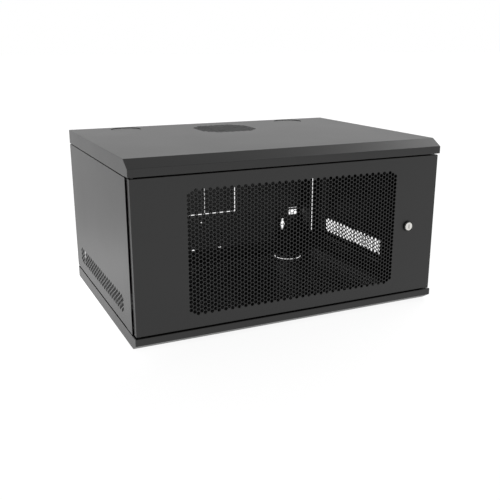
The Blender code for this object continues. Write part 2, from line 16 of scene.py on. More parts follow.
import bmesh
import bpy
import numpy as np
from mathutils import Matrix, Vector


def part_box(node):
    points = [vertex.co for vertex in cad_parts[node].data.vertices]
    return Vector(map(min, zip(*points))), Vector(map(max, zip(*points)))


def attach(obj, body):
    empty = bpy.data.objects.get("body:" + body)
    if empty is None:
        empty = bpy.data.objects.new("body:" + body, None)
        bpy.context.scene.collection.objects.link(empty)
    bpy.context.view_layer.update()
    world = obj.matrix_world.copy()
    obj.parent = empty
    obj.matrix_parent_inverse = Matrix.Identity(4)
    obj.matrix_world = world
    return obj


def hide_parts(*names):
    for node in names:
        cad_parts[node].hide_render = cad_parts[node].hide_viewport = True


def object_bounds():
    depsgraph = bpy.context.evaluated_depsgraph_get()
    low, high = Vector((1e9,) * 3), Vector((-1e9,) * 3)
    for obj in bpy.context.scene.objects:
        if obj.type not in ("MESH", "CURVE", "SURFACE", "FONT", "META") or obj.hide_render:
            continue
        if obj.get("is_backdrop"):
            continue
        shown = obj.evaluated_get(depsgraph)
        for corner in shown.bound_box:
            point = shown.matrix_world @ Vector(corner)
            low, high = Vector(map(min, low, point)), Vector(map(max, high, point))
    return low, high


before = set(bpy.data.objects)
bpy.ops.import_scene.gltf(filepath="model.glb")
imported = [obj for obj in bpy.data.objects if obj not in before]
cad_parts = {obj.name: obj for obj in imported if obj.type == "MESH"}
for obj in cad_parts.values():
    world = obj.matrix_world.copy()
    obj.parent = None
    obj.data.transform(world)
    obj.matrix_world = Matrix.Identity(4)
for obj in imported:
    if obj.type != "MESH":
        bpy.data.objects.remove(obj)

LOG = logging.getLogger("cabinet")
Array = np.ndarray
Triple = tuple[float, float, float]
Pair = tuple[float, float]

SHEET = 0.0006          # the painted sheets, as their cut edges show it
FRAME_SHEET = 0.0015    # posts, brackets, rails and wall plates
BEND = 0.0014           # outer radius of a fold
BEND_STEPS = 5          # facets across a fold
WELD = 1e-6             # points nearer than this are one
WELD_SHIFT = 3.1830988e-7   # keeps round numbers away from the edges of the weld's cells
SMOOTH_LIMIT = radians(32)  # faces that meet at less than this shade as one
BORE_SIDES = 24         # points round a bolt's or a pin's hole
PERFORATION_SIDES = 12  # points round a hole that is repeated hundreds of times
FLOOR_GAP = 0.0005      # from the underside down to the studio's floor


class Body(str, Enum):
    """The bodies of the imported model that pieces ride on."""

    CARCASS = "carcass"
    DOOR = "door"
    UPPER_PIN = "upper_pin"
    LOWER_PIN = "lower_pin"
    LOCK_CORE = "lock_core"


class Slot(str, Enum):
    """The record's material slots."""

    CASING = "black_powder_paint"
    FRAME = "frame_paint"
    ZINC = "zinc_plate"
    NICKEL = "nickel_plate"
    LOCK = "black_lock_paint"


class Side(Enum):
    """The cabinet's two sides, seen from the front."""

    LEFT = -1
    RIGHT = 1

    @property
    def word(self) -> str:
        """The side as it stands in a piece's name."""
        return self.name.lower()


class Level(Enum):
    """The lower and the upper of two like pieces."""

    LOWER = -1
    UPPER = 1

    @property
    def word(self) -> str:
        """The level as it stands in a piece's name."""
        return self.name.lower()


# ---- shapes as whole arrays ----------------------------------------------------------


def unit(vectors: Array) -> Array:
    """Vectors of length 1 along the given ones."""
    return vectors / np.maximum(np.linalg.norm(vectors, axis=-1, keepdims=True), 1e-12)


@dataclass(frozen=True)
class Plane:
    """A flat face's own two directions, and which way it faces."""

    origin: Triple
    across: Triple
    up: Triple
    facing: Triple

    def at(self, flat: Array) -> Array:
        """Points of the plane: the origin plus u times across plus v times up.

        Args:
            flat: Pairs (u, v), shape (..., 2).

        Returns:
            Points in the row frame, shape (..., 3).
        """
        return (np.array(self.origin) + flat[..., :1] * np.array(self.across)
                + flat[..., 1:] * np.array(self.up))

    def along(self, flat: Array) -> Array:
        """Directions (u, v) in the plane as directions in the row frame."""
        return flat[..., :1] * np.array(self.across) + flat[..., 1:] * np.array(self.up)


@dataclass
class Solid:
    """A closed mesh: points, faces by size, and a normal for each face's corner."""

    points: Array
    faces: list[Array]
    fold: Array
    corners: list[Array] | None = None


@dataclass
class Skin:
    """One surface: points, the outward normal at each, how much it bends, and faces."""

    points: Array
    normals: Array
    fold: Array
    faces: list[Array]

    @classmethod
    def joined(cls, skins: Sequence[Skin]) -> Skin:
        """Several skins as one, with shared edges welded and every face turned outward.

        Args:
            skins: The skins, whose edges meet within the weld's distance.

        Returns:
            The one skin.
        """
        sizes = np.array([len(skin.points) for skin in skins])
        starts = np.cumsum(sizes) - sizes
        return cls(
            np.concatenate([skin.points for skin in skins]),
            np.concatenate([skin.normals for skin in skins]),
            np.concatenate([skin.fold for skin in skins]),
            [faces + start for skin, start in zip(skins, starts) for faces in skin.faces],
        )._welded()._faced()

    def _welded(self) -> Skin:
        """Make points in the same small cell of space one.

        A point's cell is its place over the weld's distance, rounded down. The welded
        point keeps the sum of its points' normals, and the largest of their bends.

        Returns:
            The skin without its doubles.
        """
        cells = np.floor((self.points + WELD_SHIFT) / WELD).astype(np.int64)
        _, first, place = np.unique(cells, axis=0, return_index=True, return_inverse=True)
        place = place.ravel()
        normals = np.zeros((len(first), 3))
        np.add.at(normals, place, self.normals)
        fold = np.zeros(len(first))
        np.maximum.at(fold, place, self.fold)
        faces = [kept for part in self.faces for kept in without_repeats(place[part])]
        return Skin(self.points[first], unit(normals), fold, faces)

    def _faced(self) -> Skin:
        """Put each face's corners in the order that suits its points' normals.

        Returns:
            The skin with every face turned outward.
        """
        turned = []
        for faces in self.faces:
            wrong = (area_vectors(self.points, faces)
                     * self.normals[faces].sum(axis=1)).sum(axis=1) < 0
            turned.append(np.where(wrong[:, None], faces[:, ::-1], faces))
        return Skin(self.points, self.normals, self.fold, turned)

    def rim(self) -> Array:
        """Find the open edges: those that only one face has.

        Returns:
            Pairs (from, to) in the face's own order, shape (edges, 2).
        """
        pairs = np.concatenate([
            np.stack([faces, np.roll(faces, -1, axis=1)], axis=-1).reshape(-1, 2)
            for faces in self.faces])
        key = np.sort(pairs, axis=1) @ np.array([len(self.points), 1])
        _, place, count = np.unique(key, return_inverse=True, return_counts=True)
        return pairs[count[place.ravel()] == 1]

    def thickened(self, thickness: float) -> Solid:
        """The skin and its copy set back along the normals, with walls between their rims.

        Args:
            thickness: How far the copy lies behind, in metres.

        Returns:
            A closed solid whose flat faces shade flat and whose folds shade round.
        """
        count = len(self.points)
        rim = self.rim()
        points = np.concatenate([self.points, self.points - thickness * self.normals])
        walls = np.column_stack([rim[:, 1], rim[:, 0], rim[:, 0] + count, rim[:, 1] + count])
        outward = unit(area_vectors(points, walls))
        mean = np.zeros((count, 3))
        np.add.at(mean, rim.ravel(), np.repeat(outward, 2, axis=0))
        shared = unit(mean)[rim[:, ::-1]]
        near = (shared * outward[:, None]).sum(axis=2, keepdims=True) > cos(SMOOTH_LIMIT / 2)
        ends = np.where(near, shared, outward[:, None])
        backs = [faces[:, ::-1] for faces in self.faces]
        return Solid(
            points,
            [*self.faces, *[faces + count for faces in backs], walls],
            np.concatenate([self.fold, self.fold]),
            [*[self.normals[faces] for faces in self.faces],
             *[-self.normals[faces] for faces in backs],
             np.concatenate([ends, ends[:, ::-1]], axis=1)],
        )

    def closed(self) -> Solid:
        """A skin that already closes on itself, as a solid."""
        return Solid(self.points, self.faces, self.fold)


def area_vectors(points: Array, faces: Array) -> Array:
    """Each face's normal times twice its area: the sum of its corners' cross products."""
    corners = points[faces] - points[faces].mean(axis=1, keepdims=True)
    return np.cross(corners, np.roll(corners, -1, axis=1)).sum(axis=1)


def without_repeats(faces: Array) -> list[Array]:
    """Drop repeated neighbouring corners, and faces with fewer than three corners left.

    Args:
        faces: Corner numbers, shape (faces, corners).

    Returns:
        The faces, in one array for each number of corners.
    """
    kept = faces != np.roll(faces, -1, axis=1)
    counts = kept.sum(axis=1)
    return [faces[counts == size][kept[counts == size]].reshape(-1, size)
            for size in range(3, faces.shape[1] + 1) if (counts == size).any()]


def woven(points: Array, normals: Array, fold: Array | None = None,
          loop: bool = False) -> Skin:
    """A skin on a grid of points, with a quad between each four neighbours.

    Args:
        points: Shape (rows, columns, 3).
        normals: The outward direction at each point, same shape.
        fold: How much the skin bends at each point, shape (rows, columns).
        loop: Whether the last row joins the first.

    Returns:
        The skin.
    """
    rows, columns = points.shape[:2]
    index = np.arange(rows * columns).reshape(rows, columns)
    if loop:
        index = np.concatenate([index, index[:1]])
    quads = np.stack([index[:-1, :-1], index[1:, :-1], index[1:, 1:], index[:-1, 1:]],
                     axis=-1).reshape(-1, 4)
    return Skin(points.reshape(-1, 3), np.broadcast_to(normals, points.shape).reshape(-1, 3),
                np.zeros(rows * columns) if fold is None else fold.ravel(), [quads])


def filled(loops: Sequence[Array], plane: Plane) -> Skin:
    """A flat skin inside the first loop of a plane and outside all the others.

    Args:
        loops: Outlines as pairs (u, v) in the plane.
        plane: The plane.

    Returns:
        The skin, in triangles between the loops' own points.
    """
    sizes = np.array([len(loop) for loop in loops])
    flat = np.concatenate(loops)
    here = np.arange(len(flat))
    first = np.repeat(np.cumsum(sizes) - sizes, sizes)
    following = np.where(here + 1 == first + np.repeat(sizes, sizes), first, here + 1)
    mesh = bpy.data.meshes.new("outline")
    mesh.from_pydata(np.column_stack([flat, np.zeros(len(flat))]).tolist(),
                     np.column_stack([here, following]).tolist(), [])
    bm = bmesh.new()
    bm.from_mesh(mesh)
    bmesh.ops.triangle_fill(bm, use_beauty=True, use_dissolve=False, edges=bm.edges[:],
                            normal=(0.0, 0.0, 1.0))
    bm.to_mesh(mesh)
    bm.free()
    places = np.empty(len(mesh.vertices) * 3)
    mesh.vertices.foreach_get("co", places)
    triangles = np.empty(len(mesh.loops), np.int32)
    mesh.loops.foreach_get("vertex_index", triangles)
    bpy.data.meshes.remove(mesh)
    points = plane.at(places.reshape(-1, 3)[:, :2])
    return Skin(points, np.broadcast_to(np.array(plane.facing), points.shape).astype(float),
                np.zeros(len(points)), [triangles.reshape(-1, 3).astype(np.int64)])


# ---- outlines ------------------------------------------------------------------------


def arc(centre: Pair, radius: float, start: float, stop: float, steps: int) -> Array:
    """Points on part of a circle, both ends included, shape (steps + 1, 2)."""
    turn = np.linspace(start, stop, steps + 1)
    return np.array(centre) + radius * np.column_stack([np.cos(turn), np.sin(turn)])


def ring(centre: Pair, radius: float, sides: int) -> Array:
    """A whole circle's points."""
    return arc(centre, radius, 0.0, 2 * pi, sides)[:-1]


def rectangle(low: Pair, high: Pair) -> Array:
    """A rectangle's four corners."""
    return np.array([(low[0], low[1]), (high[0], low[1]), (high[0], high[1]), (low[0], high[1])])


def rounded(low: Pair, high: Pair, radius: float, steps: int = 3) -> Array:
    """A rectangle with a quarter circle at each corner.

    Args:
        low: Its lower corner.
        high: Its upper corner.
        radius: The quarter circles' radius.
        steps: Steps in each of them.

    Returns:
        The outline's points.
    """
    (x0, y0), (x1, y1) = low, high
    middles = ((x1 - radius, y1 - radius), (x0 + radius, y1 - radius),
               (x0 + radius, y0 + radius), (x1 - radius, y0 + radius))
    return np.concatenate([arc(middle, radius, k * pi / 2, (k + 1) * pi / 2, steps)
                           for k, middle in enumerate(middles)])


def keyhole(centre: Pair, head: float, slot: float, reach: float) -> Array:
    """A round hole with a narrow round-ended slot above and below it.

    Args:
        centre: The round hole's middle.
        head: Its radius.
        slot: Half of the slot's width.
        reach: From the middle to a slot's end.

    Returns:
        The outline: arc, slot's end, arc, slot's end, in turn to the left.
    """
    x, z = centre
    open_angle = atan2(sqrt(head ** 2 - slot ** 2), slot)
    return np.concatenate([
        arc(centre, head, -open_angle, open_angle, 12),
        arc((x, z + reach - slot), slot, 0.0, pi, 8),
        arc(centre, head, pi - open_angle, pi + open_angle, 12),
        arc((x, z - reach + slot), slot, pi, 2 * pi, 8)])


def staggered(columns: Array, counts: Array, spacing: float, pitch: float) -> Array:
    """Hole centres in columns that are each spread evenly about one middle line.

    Column k stands at k times the spacing. A column of n holes has them at the pitch
    times -(n - 1) / 2, and so on up to (n - 1) / 2.

    Args:
        columns: The columns' whole numbers.
        counts: How many holes each one has.
        spacing: Between columns.
        pitch: Between the holes of a column.

    Returns:
        Centres, shape (holes, 2).
    """
    rank = np.arange(counts.max())[None, :]
    rise = (rank - (counts[:, None] - 1) / 2) * pitch
    across = np.broadcast_to(columns[:, None] * spacing, rise.shape)
    return np.stack([across, rise], axis=-1)[rank < counts[:, None]]


def punched(centres: Array, radius: float, sides: int) -> list[Array]:
    """Round outlines about many centres."""
    return list(centres[:, None, :] + ring((0.0, 0.0), radius, sides)[None])


# ---- folded sheet --------------------------------------------------------------------


@dataclass(frozen=True)
class Pan:
    """A rectangular face with its edges folded back and its corners closed.

    Attributes:
        plane: The face's plane.
        low: The face's lower corner in the plane, over the folds.
        high: Its upper corner.
        depth: From the face to the folded edges' ends.
        openings: Outlines cut in the face.
        edge_openings: Outlines cut in the folded edges, by the edge's number: 0 is at the
            right, 1 the top, 2 the left and 3 the bottom; (along from the edge's middle,
            back from the face).
        plain: Zero where all four edges are folded; otherwise the left edge is not, and the
            top and bottom folds start this far from it.
    """

    plane: Plane
    low: Pair
    high: Pair
    depth: float
    openings: Sequence[Array] = ()
    edge_openings: Mapping[int, Sequence[Array]] = field(default_factory=dict)
    plain: float = 0.0

    def skin(self) -> Skin:
        """The face, the fold round it and the folded edges.

        A fold's point is the corner's centre plus the bend's radius times sin(t) outward
        and 1 - cos(t) back, for t from 0 to a quarter turn, carried round the rectangle.

        Returns:
            The skin.
        """
        (u0, v0), (u1, v1) = self.low, self.high
        facing = np.array(self.plane.facing)
        middles = np.array([(u1, v1), (u0, v1), (u0, v0), (u1, v0)]) + BEND * np.array(
            [(-1, -1), (1, -1), (1, 1), (-1, 1)])
        turn = (np.arange(4)[:, None] + np.linspace(0, 1, BEND_STEPS + 1)) * pi / 2
        outward = list(np.stack([np.cos(turn), np.sin(turn)], axis=-1))
        centres = [np.broadcast_to(middle, outward[0].shape) for middle in middles]
        outline, numbers = middles, [0, 1, 2, 3]
        if self.plain:
            fold = u0 + self.plain
            ends = np.array([(fold, v0 + BEND), (fold, v1 - BEND)])
            centres = [ends[:1], centres[3], centres[0], ends[1:]]
            outward = [np.array([(0.0, -1.0)]), outward[3], outward[0], np.array([(0.0, 1.0)])]
            outline = np.array([ends[0], middles[3], middles[0], ends[1], (fold, v1), (u0, v1),
                                (u0, v0), (fold, v0)])
            numbers = [-1, 3, 0, 1]
        start = [self.plane.at(centre) for centre in centres]
        away = [self.plane.along(out) for out in outward]
        path, path_away = np.concatenate(start)[:, None], np.concatenate(away)[:, None]
        t = np.linspace(0, pi / 2, BEND_STEPS + 1)[None, :, None]
        bend = woven(path + BEND * (np.sin(t) * path_away - (1 - np.cos(t)) * facing),
                     np.cos(t) * facing + np.sin(t) * path_away,
                     np.broadcast_to(np.sin(2 * t[..., 0]), (len(path), BEND_STEPS + 1)),
                     not self.plain)
        backs = np.array([BEND, self.depth])[None, :, None]
        skins = [filled([outline, *self.openings], self.plane), bend]
        for k, number in enumerate(numbers):
            if len(start[k]) > 1:
                skins.append(woven(start[k][:, None] + BEND * away[k][:, None] - backs * facing,
                                   np.broadcast_to(away[k][:, None], (BEND_STEPS + 1, 2, 3))))
            if number >= 0:
                skins.append(self._edge(number, start[k - 1][-1] + BEND * away[k][0],
                                        start[k][0] + BEND * away[k][0], away[k][0]))
        return Skin.joined(skins)

    def _edge(self, number: int, first: Array, last: Array, outward: Array) -> Skin:
        """One folded edge between two corners, with its openings.

        Args:
            number: The edge's number.
            first: Where it starts, on the face's plane.
            last: Where it ends.
            outward: The way it faces.

        Returns:
            The flat skin behind the fold.
        """
        half = np.linalg.norm(last - first) / 2
        plane = Plane(tuple((first + last) / 2), tuple(unit(last - first)),
                      tuple(-np.array(self.plane.facing)), tuple(outward))
        return filled([rectangle((-half, BEND), (half, self.depth)),
                       *self.edge_openings.get(number, ())], plane)


@dataclass(frozen=True)
class Angle:
    """A strip folded once along its length: a post, a bracket or a rail.

    Attributes:
        corner: A point on the outer corner's line, where the length is counted from.
        legs: The directions of the two legs.
        widths: The legs' widths over the fold.
        axis: The direction of the length.
        ends: Where the strip starts and ends along the axis.
        openings: Outlines cut in each leg; (from the corner, along the axis).
    """

    corner: Triple
    legs: tuple[Triple, Triple]
    widths: Pair
    axis: Triple
    ends: Pair
    openings: tuple[Sequence[Array], Sequence[Array]] = ((), ())

    def skin(self) -> Skin:
        """The two legs and the quarter-round fold between them.

        The fold's point is its centre, one radius in along both legs, less the radius
        times cos(t) of the second leg's direction and sin(t) of the first's.

        Returns:
            The skin.
        """
        first, second = np.array(self.legs)
        centre = np.array(self.corner) + BEND * (first + second)
        t = np.linspace(0, pi / 2, BEND_STEPS + 1)[:, None, None]
        away = -(np.cos(t) * second + np.sin(t) * first)
        length = np.array(self.ends)[None, :, None] * np.array(self.axis)
        fold = np.broadcast_to(np.sin(2 * t[..., 0]), (BEND_STEPS + 1, 2))
        skins = [woven(centre + BEND * away + length, np.broadcast_to(away, (BEND_STEPS + 1, 2, 3)),
                       fold)]
        for leg, other, width, openings in ((first, second, self.widths[0], self.openings[0]),
                                            (second, first, self.widths[1], self.openings[1])):
            plane = Plane(self.corner, tuple(leg), self.axis, tuple(-other))
            skins.append(filled([rectangle((BEND, self.ends[0]), (width, self.ends[1])),
                                 *openings], plane))
        return Skin.joined(skins)


@dataclass(frozen=True)
class Tray:
    """A cover or a base: a flat sheet with a sloped and lipped front and folded edges.

    Attributes:
        half: Half of the width over the side flanges.
        front: The lip's front.
        back: The back flange's rear.
        flat: The height of the flat sheet's outer face.
        rim: The height of the flanges' ends.
        slope: The sloped strip's depth and height.
        lip_return: How far the lip is folded in again.
        openings: Outlines cut in the flat sheet, as (x, y).
        return_openings: Outlines cut in the lip's return, as (x, y).
    """

    half: float
    front: float
    back: float
    flat: float
    rim: float
    slope: Pair
    lip_return: float
    openings: Sequence[Array]
    return_openings: Sequence[Array]

    def _profile(self) -> tuple[Array, Array, Array]:
        """The side view from the return's end round to the back flange's end.

        Each corner between is an arc that touches both its lines, at the bend's radius
        times the tangent of half the turn from the corner.

        Returns:
            Points (y, z), outward directions and the amount of bend, in rows of one corner
            each.
        """
        up = 1.0 if self.flat > self.rim else -1.0
        corners = np.array([
            (self.front + self.lip_return, self.rim), (self.front, self.rim),
            (self.front, self.flat - up * self.slope[1]),
            (self.front + self.slope[0], self.flat), (self.back, self.flat),
            (self.back, self.rim)])
        steps = unit(np.diff(corners, axis=0))
        outward = up * np.column_stack([-steps[:, 1], steps[:, 0]])
        turn = np.arccos(np.clip((steps[:-1] * steps[1:]).sum(axis=1), -1, 1))
        share = np.linspace(0, 1, BEND_STEPS + 1)[None, :, None]
        sweep = turn[:, None, None]
        away = (np.sin((1 - share) * sweep) * outward[:-1, None]
                + np.sin(share * sweep) * outward[1:, None]) / np.sin(sweep)
        touch = corners[1:-1] - BEND * np.tan(turn / 2)[:, None] * steps[:-1]
        middle = touch - BEND * outward[:-1]
        fold = np.broadcast_to(np.sin(pi * share[..., 0]), (len(turn), BEND_STEPS + 1))
        points = np.concatenate([corners[:1], (middle[:, None] + BEND * away).reshape(-1, 2),
                                 corners[-1:]])
        normals = np.concatenate([outward[:1], away.reshape(-1, 2), outward[-1:]])
        return points, normals, np.concatenate([[0.0], fold.ravel(), [0.0]])

    def skin(self) -> Skin:
        """The side view carried across the width, and rolled over into both side flanges.

        Across the width x is plain. Past it, a side's point is x plus the bend's radius
        times sin(t), and the side view set in by the radius times 1 - cos(t).

        Returns:
            The skin.
        """
        profile, outward, fold = self._profile()
        inner = self.half - BEND
        side_view = np.column_stack([np.zeros(len(profile)), profile])
        away = np.column_stack([np.zeros(len(profile)), outward])
        xs = np.array([-inner, inner])[None, :, None] * np.array((1.0, 0.0, 0.0))
        strips = woven(side_view[:, None] + xs,
                       np.broadcast_to(away[:, None], (len(profile), 2, 3)),
                       np.repeat(fold[:, None], 2, axis=1))
        sheets = (0, 3 * (BEND_STEPS + 1))  # rows with openings: the return, the flat sheet
        plain = np.ones(len(profile) - 1, bool)
        plain[list(sheets)] = False
        skins = [Skin(strips.points, strips.normals, strips.fold, [strips.faces[0][plain]])]
        for row, openings in zip(sheets, (self.return_openings, self.openings)):
            (y0, z), (y1, _) = profile[row], profile[row + 1]
            plane = Plane((0.0, 0.0, z), (1.0, 0.0, 0.0), (0.0, 1.0, 0.0), tuple(away[row]))
            skins.append(filled([rectangle((-inner, min(y0, y1)), (inner, max(y0, y1))),
                                 *openings], plane))
        t = np.linspace(0, pi / 2, BEND_STEPS + 1)[None, :, None]
        for side in Side:
            across = np.array((float(side.value), 0.0, 0.0))
            skins.append(woven(
                side_view[:, None] + (inner + BEND * np.sin(t)) * across
                - BEND * (1 - np.cos(t)) * away[:, None],
                np.cos(t) * away[:, None] + np.sin(t) * across,
                np.maximum(np.broadcast_to(np.sin(2 * t[..., 0]), (len(profile), BEND_STEPS + 1)),
                           0.0)))
            edge = profile - BEND * outward
            start = np.array([(profile[0, 0], self.rim)])
            plane = Plane(tuple(self.half * across), (0.0, 1.0, 0.0), (0.0, 0.0, 1.0),
                          tuple(across))
            skins.append(filled([distinct(np.concatenate([edge, start]))], plane))
        return Skin.joined(skins)


def distinct(loop: Array) -> Array:
    """A loop without points that repeat the one before."""
    step = np.linalg.norm(loop - np.roll(loop, 1, axis=0), axis=1)
    return loop[step > WELD]


# ---- turned and bent pieces ----------------------------------------------------------


@dataclass(frozen=True)
class Axis:
    """A turned piece's axis: where it starts and which way it runs."""

    origin: Triple
    direction: Triple

    def frame(self) -> tuple[Array, Array, Array, Array]:
        """Work out directions square to the axis.

        Returns:
            The origin, the direction and two directions square to it.
        """
        along = unit(np.array(self.direction))
        helper = np.array((0.0, 0.0, 1.0)) if abs(along[2]) < 0.9 else np.array((1.0, 0.0, 0.0))
        first = unit(np.cross(helper, along))
        return np.array(self.origin), along, first, np.cross(along, first)


def turned(profile: Sequence[Pair], axis: Axis, sides: int, loop: bool = False,
           flats: float | None = None, turn: float = 0.0) -> Skin:
    """A profile of (radius, distance along) carried round an axis.

    The point at angle a is the axis's point plus the radius times cos(a) and sin(a) of the
    two square directions. With flats, the radius is at most flats / cos of the angle from
    the middle of the nearest of six flats, so a chamfered round blank gets hexagon sides.

    Args:
        profile: From the front middle outward, back, and in again.
        axis: The axis.
        sides: How many points go round; a multiple of six where there are flats.
        loop: Whether the profile is a ring's section, closed on itself.
        flats: Half of the width across the flats.
        turn: Where the first point round stands.

    Returns:
        The closed skin.
    """
    section = np.array(profile, float)
    if loop:
        section = np.concatenate([section, section[:1]])
    step = unit(np.diff(section, axis=0))
    square = np.column_stack([step[:, 1], -step[:, 0]])
    before = np.concatenate([square[-1:] if loop else square[:1], square])
    after = np.concatenate([square, square[:1] if loop else square[-1:]])
    normal = unit(before + after)
    origin, along, first, second = axis.frame()
    angle = turn + np.arange(sides)[:, None] * 2 * pi / sides
    radius = np.broadcast_to(section[:, 0], (sides, len(section)))
    if flats is not None:
        off = (angle - turn + pi / 6) % (pi / 3) - pi / 6
        radius = np.minimum(radius, flats / np.cos(off))
    out = np.cos(angle)[..., None] * first + np.sin(angle)[..., None] * second
    points = origin + radius[..., None] * out + section[None, :, 1:] * along
    normals = normal[None, :, :1] * out + normal[None, :, 1:] * along
    return woven(points, normals, None, True)


def tube(path: Array, radii: Array, sides: int) -> Skin:
    """A round rod of changing radius along a path.

    Its point is the path's point plus the radius times cos(a) and sin(a) of two directions
    square to the path; the first is kept as square to all of the path as can be.

    Args:
        path: Points, shape (n, 3).
        radii: The radius at each; 0 at an end closes it.
        sides: Points round the rod.

    Returns:
        The skin.
    """
    tangent = unit(np.gradient(path, axis=0))
    spread = path - path.mean(axis=0)
    first = np.linalg.svd(spread, full_matrices=True)[2][2]
    second = unit(np.cross(tangent, first))
    lead = np.cross(second, tangent)
    angle = np.arange(sides)[:, None, None] * 2 * pi / sides
    out = np.cos(angle) * lead + np.sin(angle) * second
    lean = -np.gradient(radii)[:, None] / np.maximum(
        np.linalg.norm(np.gradient(path, axis=0), axis=1), 1e-9)[:, None] * tangent
    return woven(path + radii[:, None] * out, unit(out + lean), None, True)


def round_corner(before: Pair, corner: Pair, after: Pair, radius: float, steps: int) -> Array:
    """An arc that replaces a right-angled corner between two lines of a section.

    Its point is the corner plus the radius times 1 - sin(t) back and 1 - cos(t) on.

    Args:
        before: A point on the line into the corner.
        corner: The corner.
        after: A point on the line out of it.
        radius: The arc's radius.
        steps: Its steps.

    Returns:
        The arc's points, shape (steps + 1, 2).
    """
    here = np.array(corner)
    back, on = unit(np.array(before) - here), unit(np.array(after) - here)
    t = np.linspace(0, pi / 2, steps + 1)[:, None]
    return here + radius * ((1 - np.sin(t)) * back + (1 - np.cos(t)) * on)


def eased(section: Sequence[Pair], radii: Mapping[int, float], steps: int = 3) -> list[Pair]:
    """A section with some of its right-angled corners rounded.

    Args:
        section: The corners, as (radius, distance along).
        radii: The rounding at each corner that has one, by its number.
        steps: Steps in each rounding.

    Returns:
        The section's points.
    """
    points: list[Pair] = []
    for number, corner in enumerate(section):
        if number in radii:
            points += [tuple(p) for p in round_corner(
                section[number - 1], corner, section[(number + 1) % len(section)],
                radii[number], steps)]
        else:
            points.append(corner)
    return points


def recessed_face(plane: Plane, radius: float, sides: int, recess: Array, depth: float,
                  turn: float = 0.0) -> list[Skin]:
    """A round flat face with a blind recess sunk in it.

    Args:
        plane: The face's plane, with its middle as the origin.
        radius: The face's radius.
        sides: Points round it.
        recess: The recess's outline in the plane.
        depth: How deep it is sunk.
        turn: Where the first point round the face stands.

    Returns:
        The skins of the face, the recess's walls and its floor.
    """
    outline = arc((0.0, 0.0), radius, turn, turn + 2 * pi, sides)[:-1]
    facing = np.array(plane.facing)
    top = plane.at(recess)
    nearby = unit(np.roll(top, -1, axis=0) - top) + unit(top - np.roll(top, 1, axis=0))
    inward = unit(np.cross(nearby, facing))
    middle = top.mean(axis=0)
    if ((top - middle) * inward).sum() > 0:
        inward = -inward
    walls = woven(np.stack([top, top - depth * facing], axis=1),
                  np.stack([inward, inward], axis=1), None, True)
    sunk = Plane(tuple(np.array(plane.origin) - depth * facing), plane.across, plane.up,
                 plane.facing)
    return [filled([outline, recess], plane), walls, filled([recess], sunk)]


# ---- shader nodes --------------------------------------------------------------------


@dataclass(frozen=True)
class Value:
    """A number that changes over a surface: a socket that takes part in arithmetic."""

    shader: Shader
    socket: bpy.types.NodeSocket

    def __add__(self, other: Number) -> Value:
        """The sum."""
        return self.shader.maths("ADD", self, other)

    def __radd__(self, other: Number) -> Value:
        """The sum."""
        return self.shader.maths("ADD", other, self)

    def __sub__(self, other: Number) -> Value:
        """The difference."""
        return self.shader.maths("SUBTRACT", self, other)

    def __rsub__(self, other: Number) -> Value:
        """The difference, the other way round."""
        return self.shader.maths("SUBTRACT", other, self)

    def __mul__(self, other: Number) -> Value:
        """The product."""
        return self.shader.maths("MULTIPLY", self, other)

    def __rmul__(self, other: Number) -> Value:
        """The product."""
        return self.shader.maths("MULTIPLY", other, self)

    def above(self, low: float, high: float) -> Value:
        """0 under low, 1 over high and a smooth step between."""
        stepped = self.shader.node(
            "ShaderNodeMapRange", {"interpolation_type": "SMOOTHSTEP"},
            {"Value": self, "From Min": low, "From Max": high})
        return Value(self.shader, stepped.outputs["Result"])


Number = Union[Value, float]


class NodeTree:
    """The nodes of a material or of the world."""

    def __init__(self, owner: bpy.types.Material | bpy.types.World) -> None:
        """Start with no nodes.

        Args:
            owner: The material or the world.
        """
        owner.use_nodes = True
        self.tree = owner.node_tree
        self.tree.nodes.clear()

    def node(self, kind: str, settings: Mapping[str, Any], sockets: Mapping[str | int, Any]
             ) -> bpy.types.Node:
        """Add any node.

        Args:
            kind: The node's type.
            settings: Its own settings, which are set first.
            sockets: The value or link of each input socket, by name or number.

        Returns:
            The node.
        """
        made = self.tree.nodes.new(kind)
        for key, setting in settings.items():
            setattr(made, key, setting)
        self.feed(made, sockets)
        return made

    def feed(self, made: bpy.types.Node, sockets: Mapping[str | int, Any]) -> None:
        """Link or set input sockets of a node.

        Args:
            made: The node.
            sockets: The value or link of each input socket, by name or number.
        """
        for key, given in sockets.items():
            source = given.socket if isinstance(given, Value) else given
            if isinstance(source, bpy.types.NodeSocket):
                self.tree.links.new(source, made.inputs[key])
            else:
                made.inputs[key].default_value = source


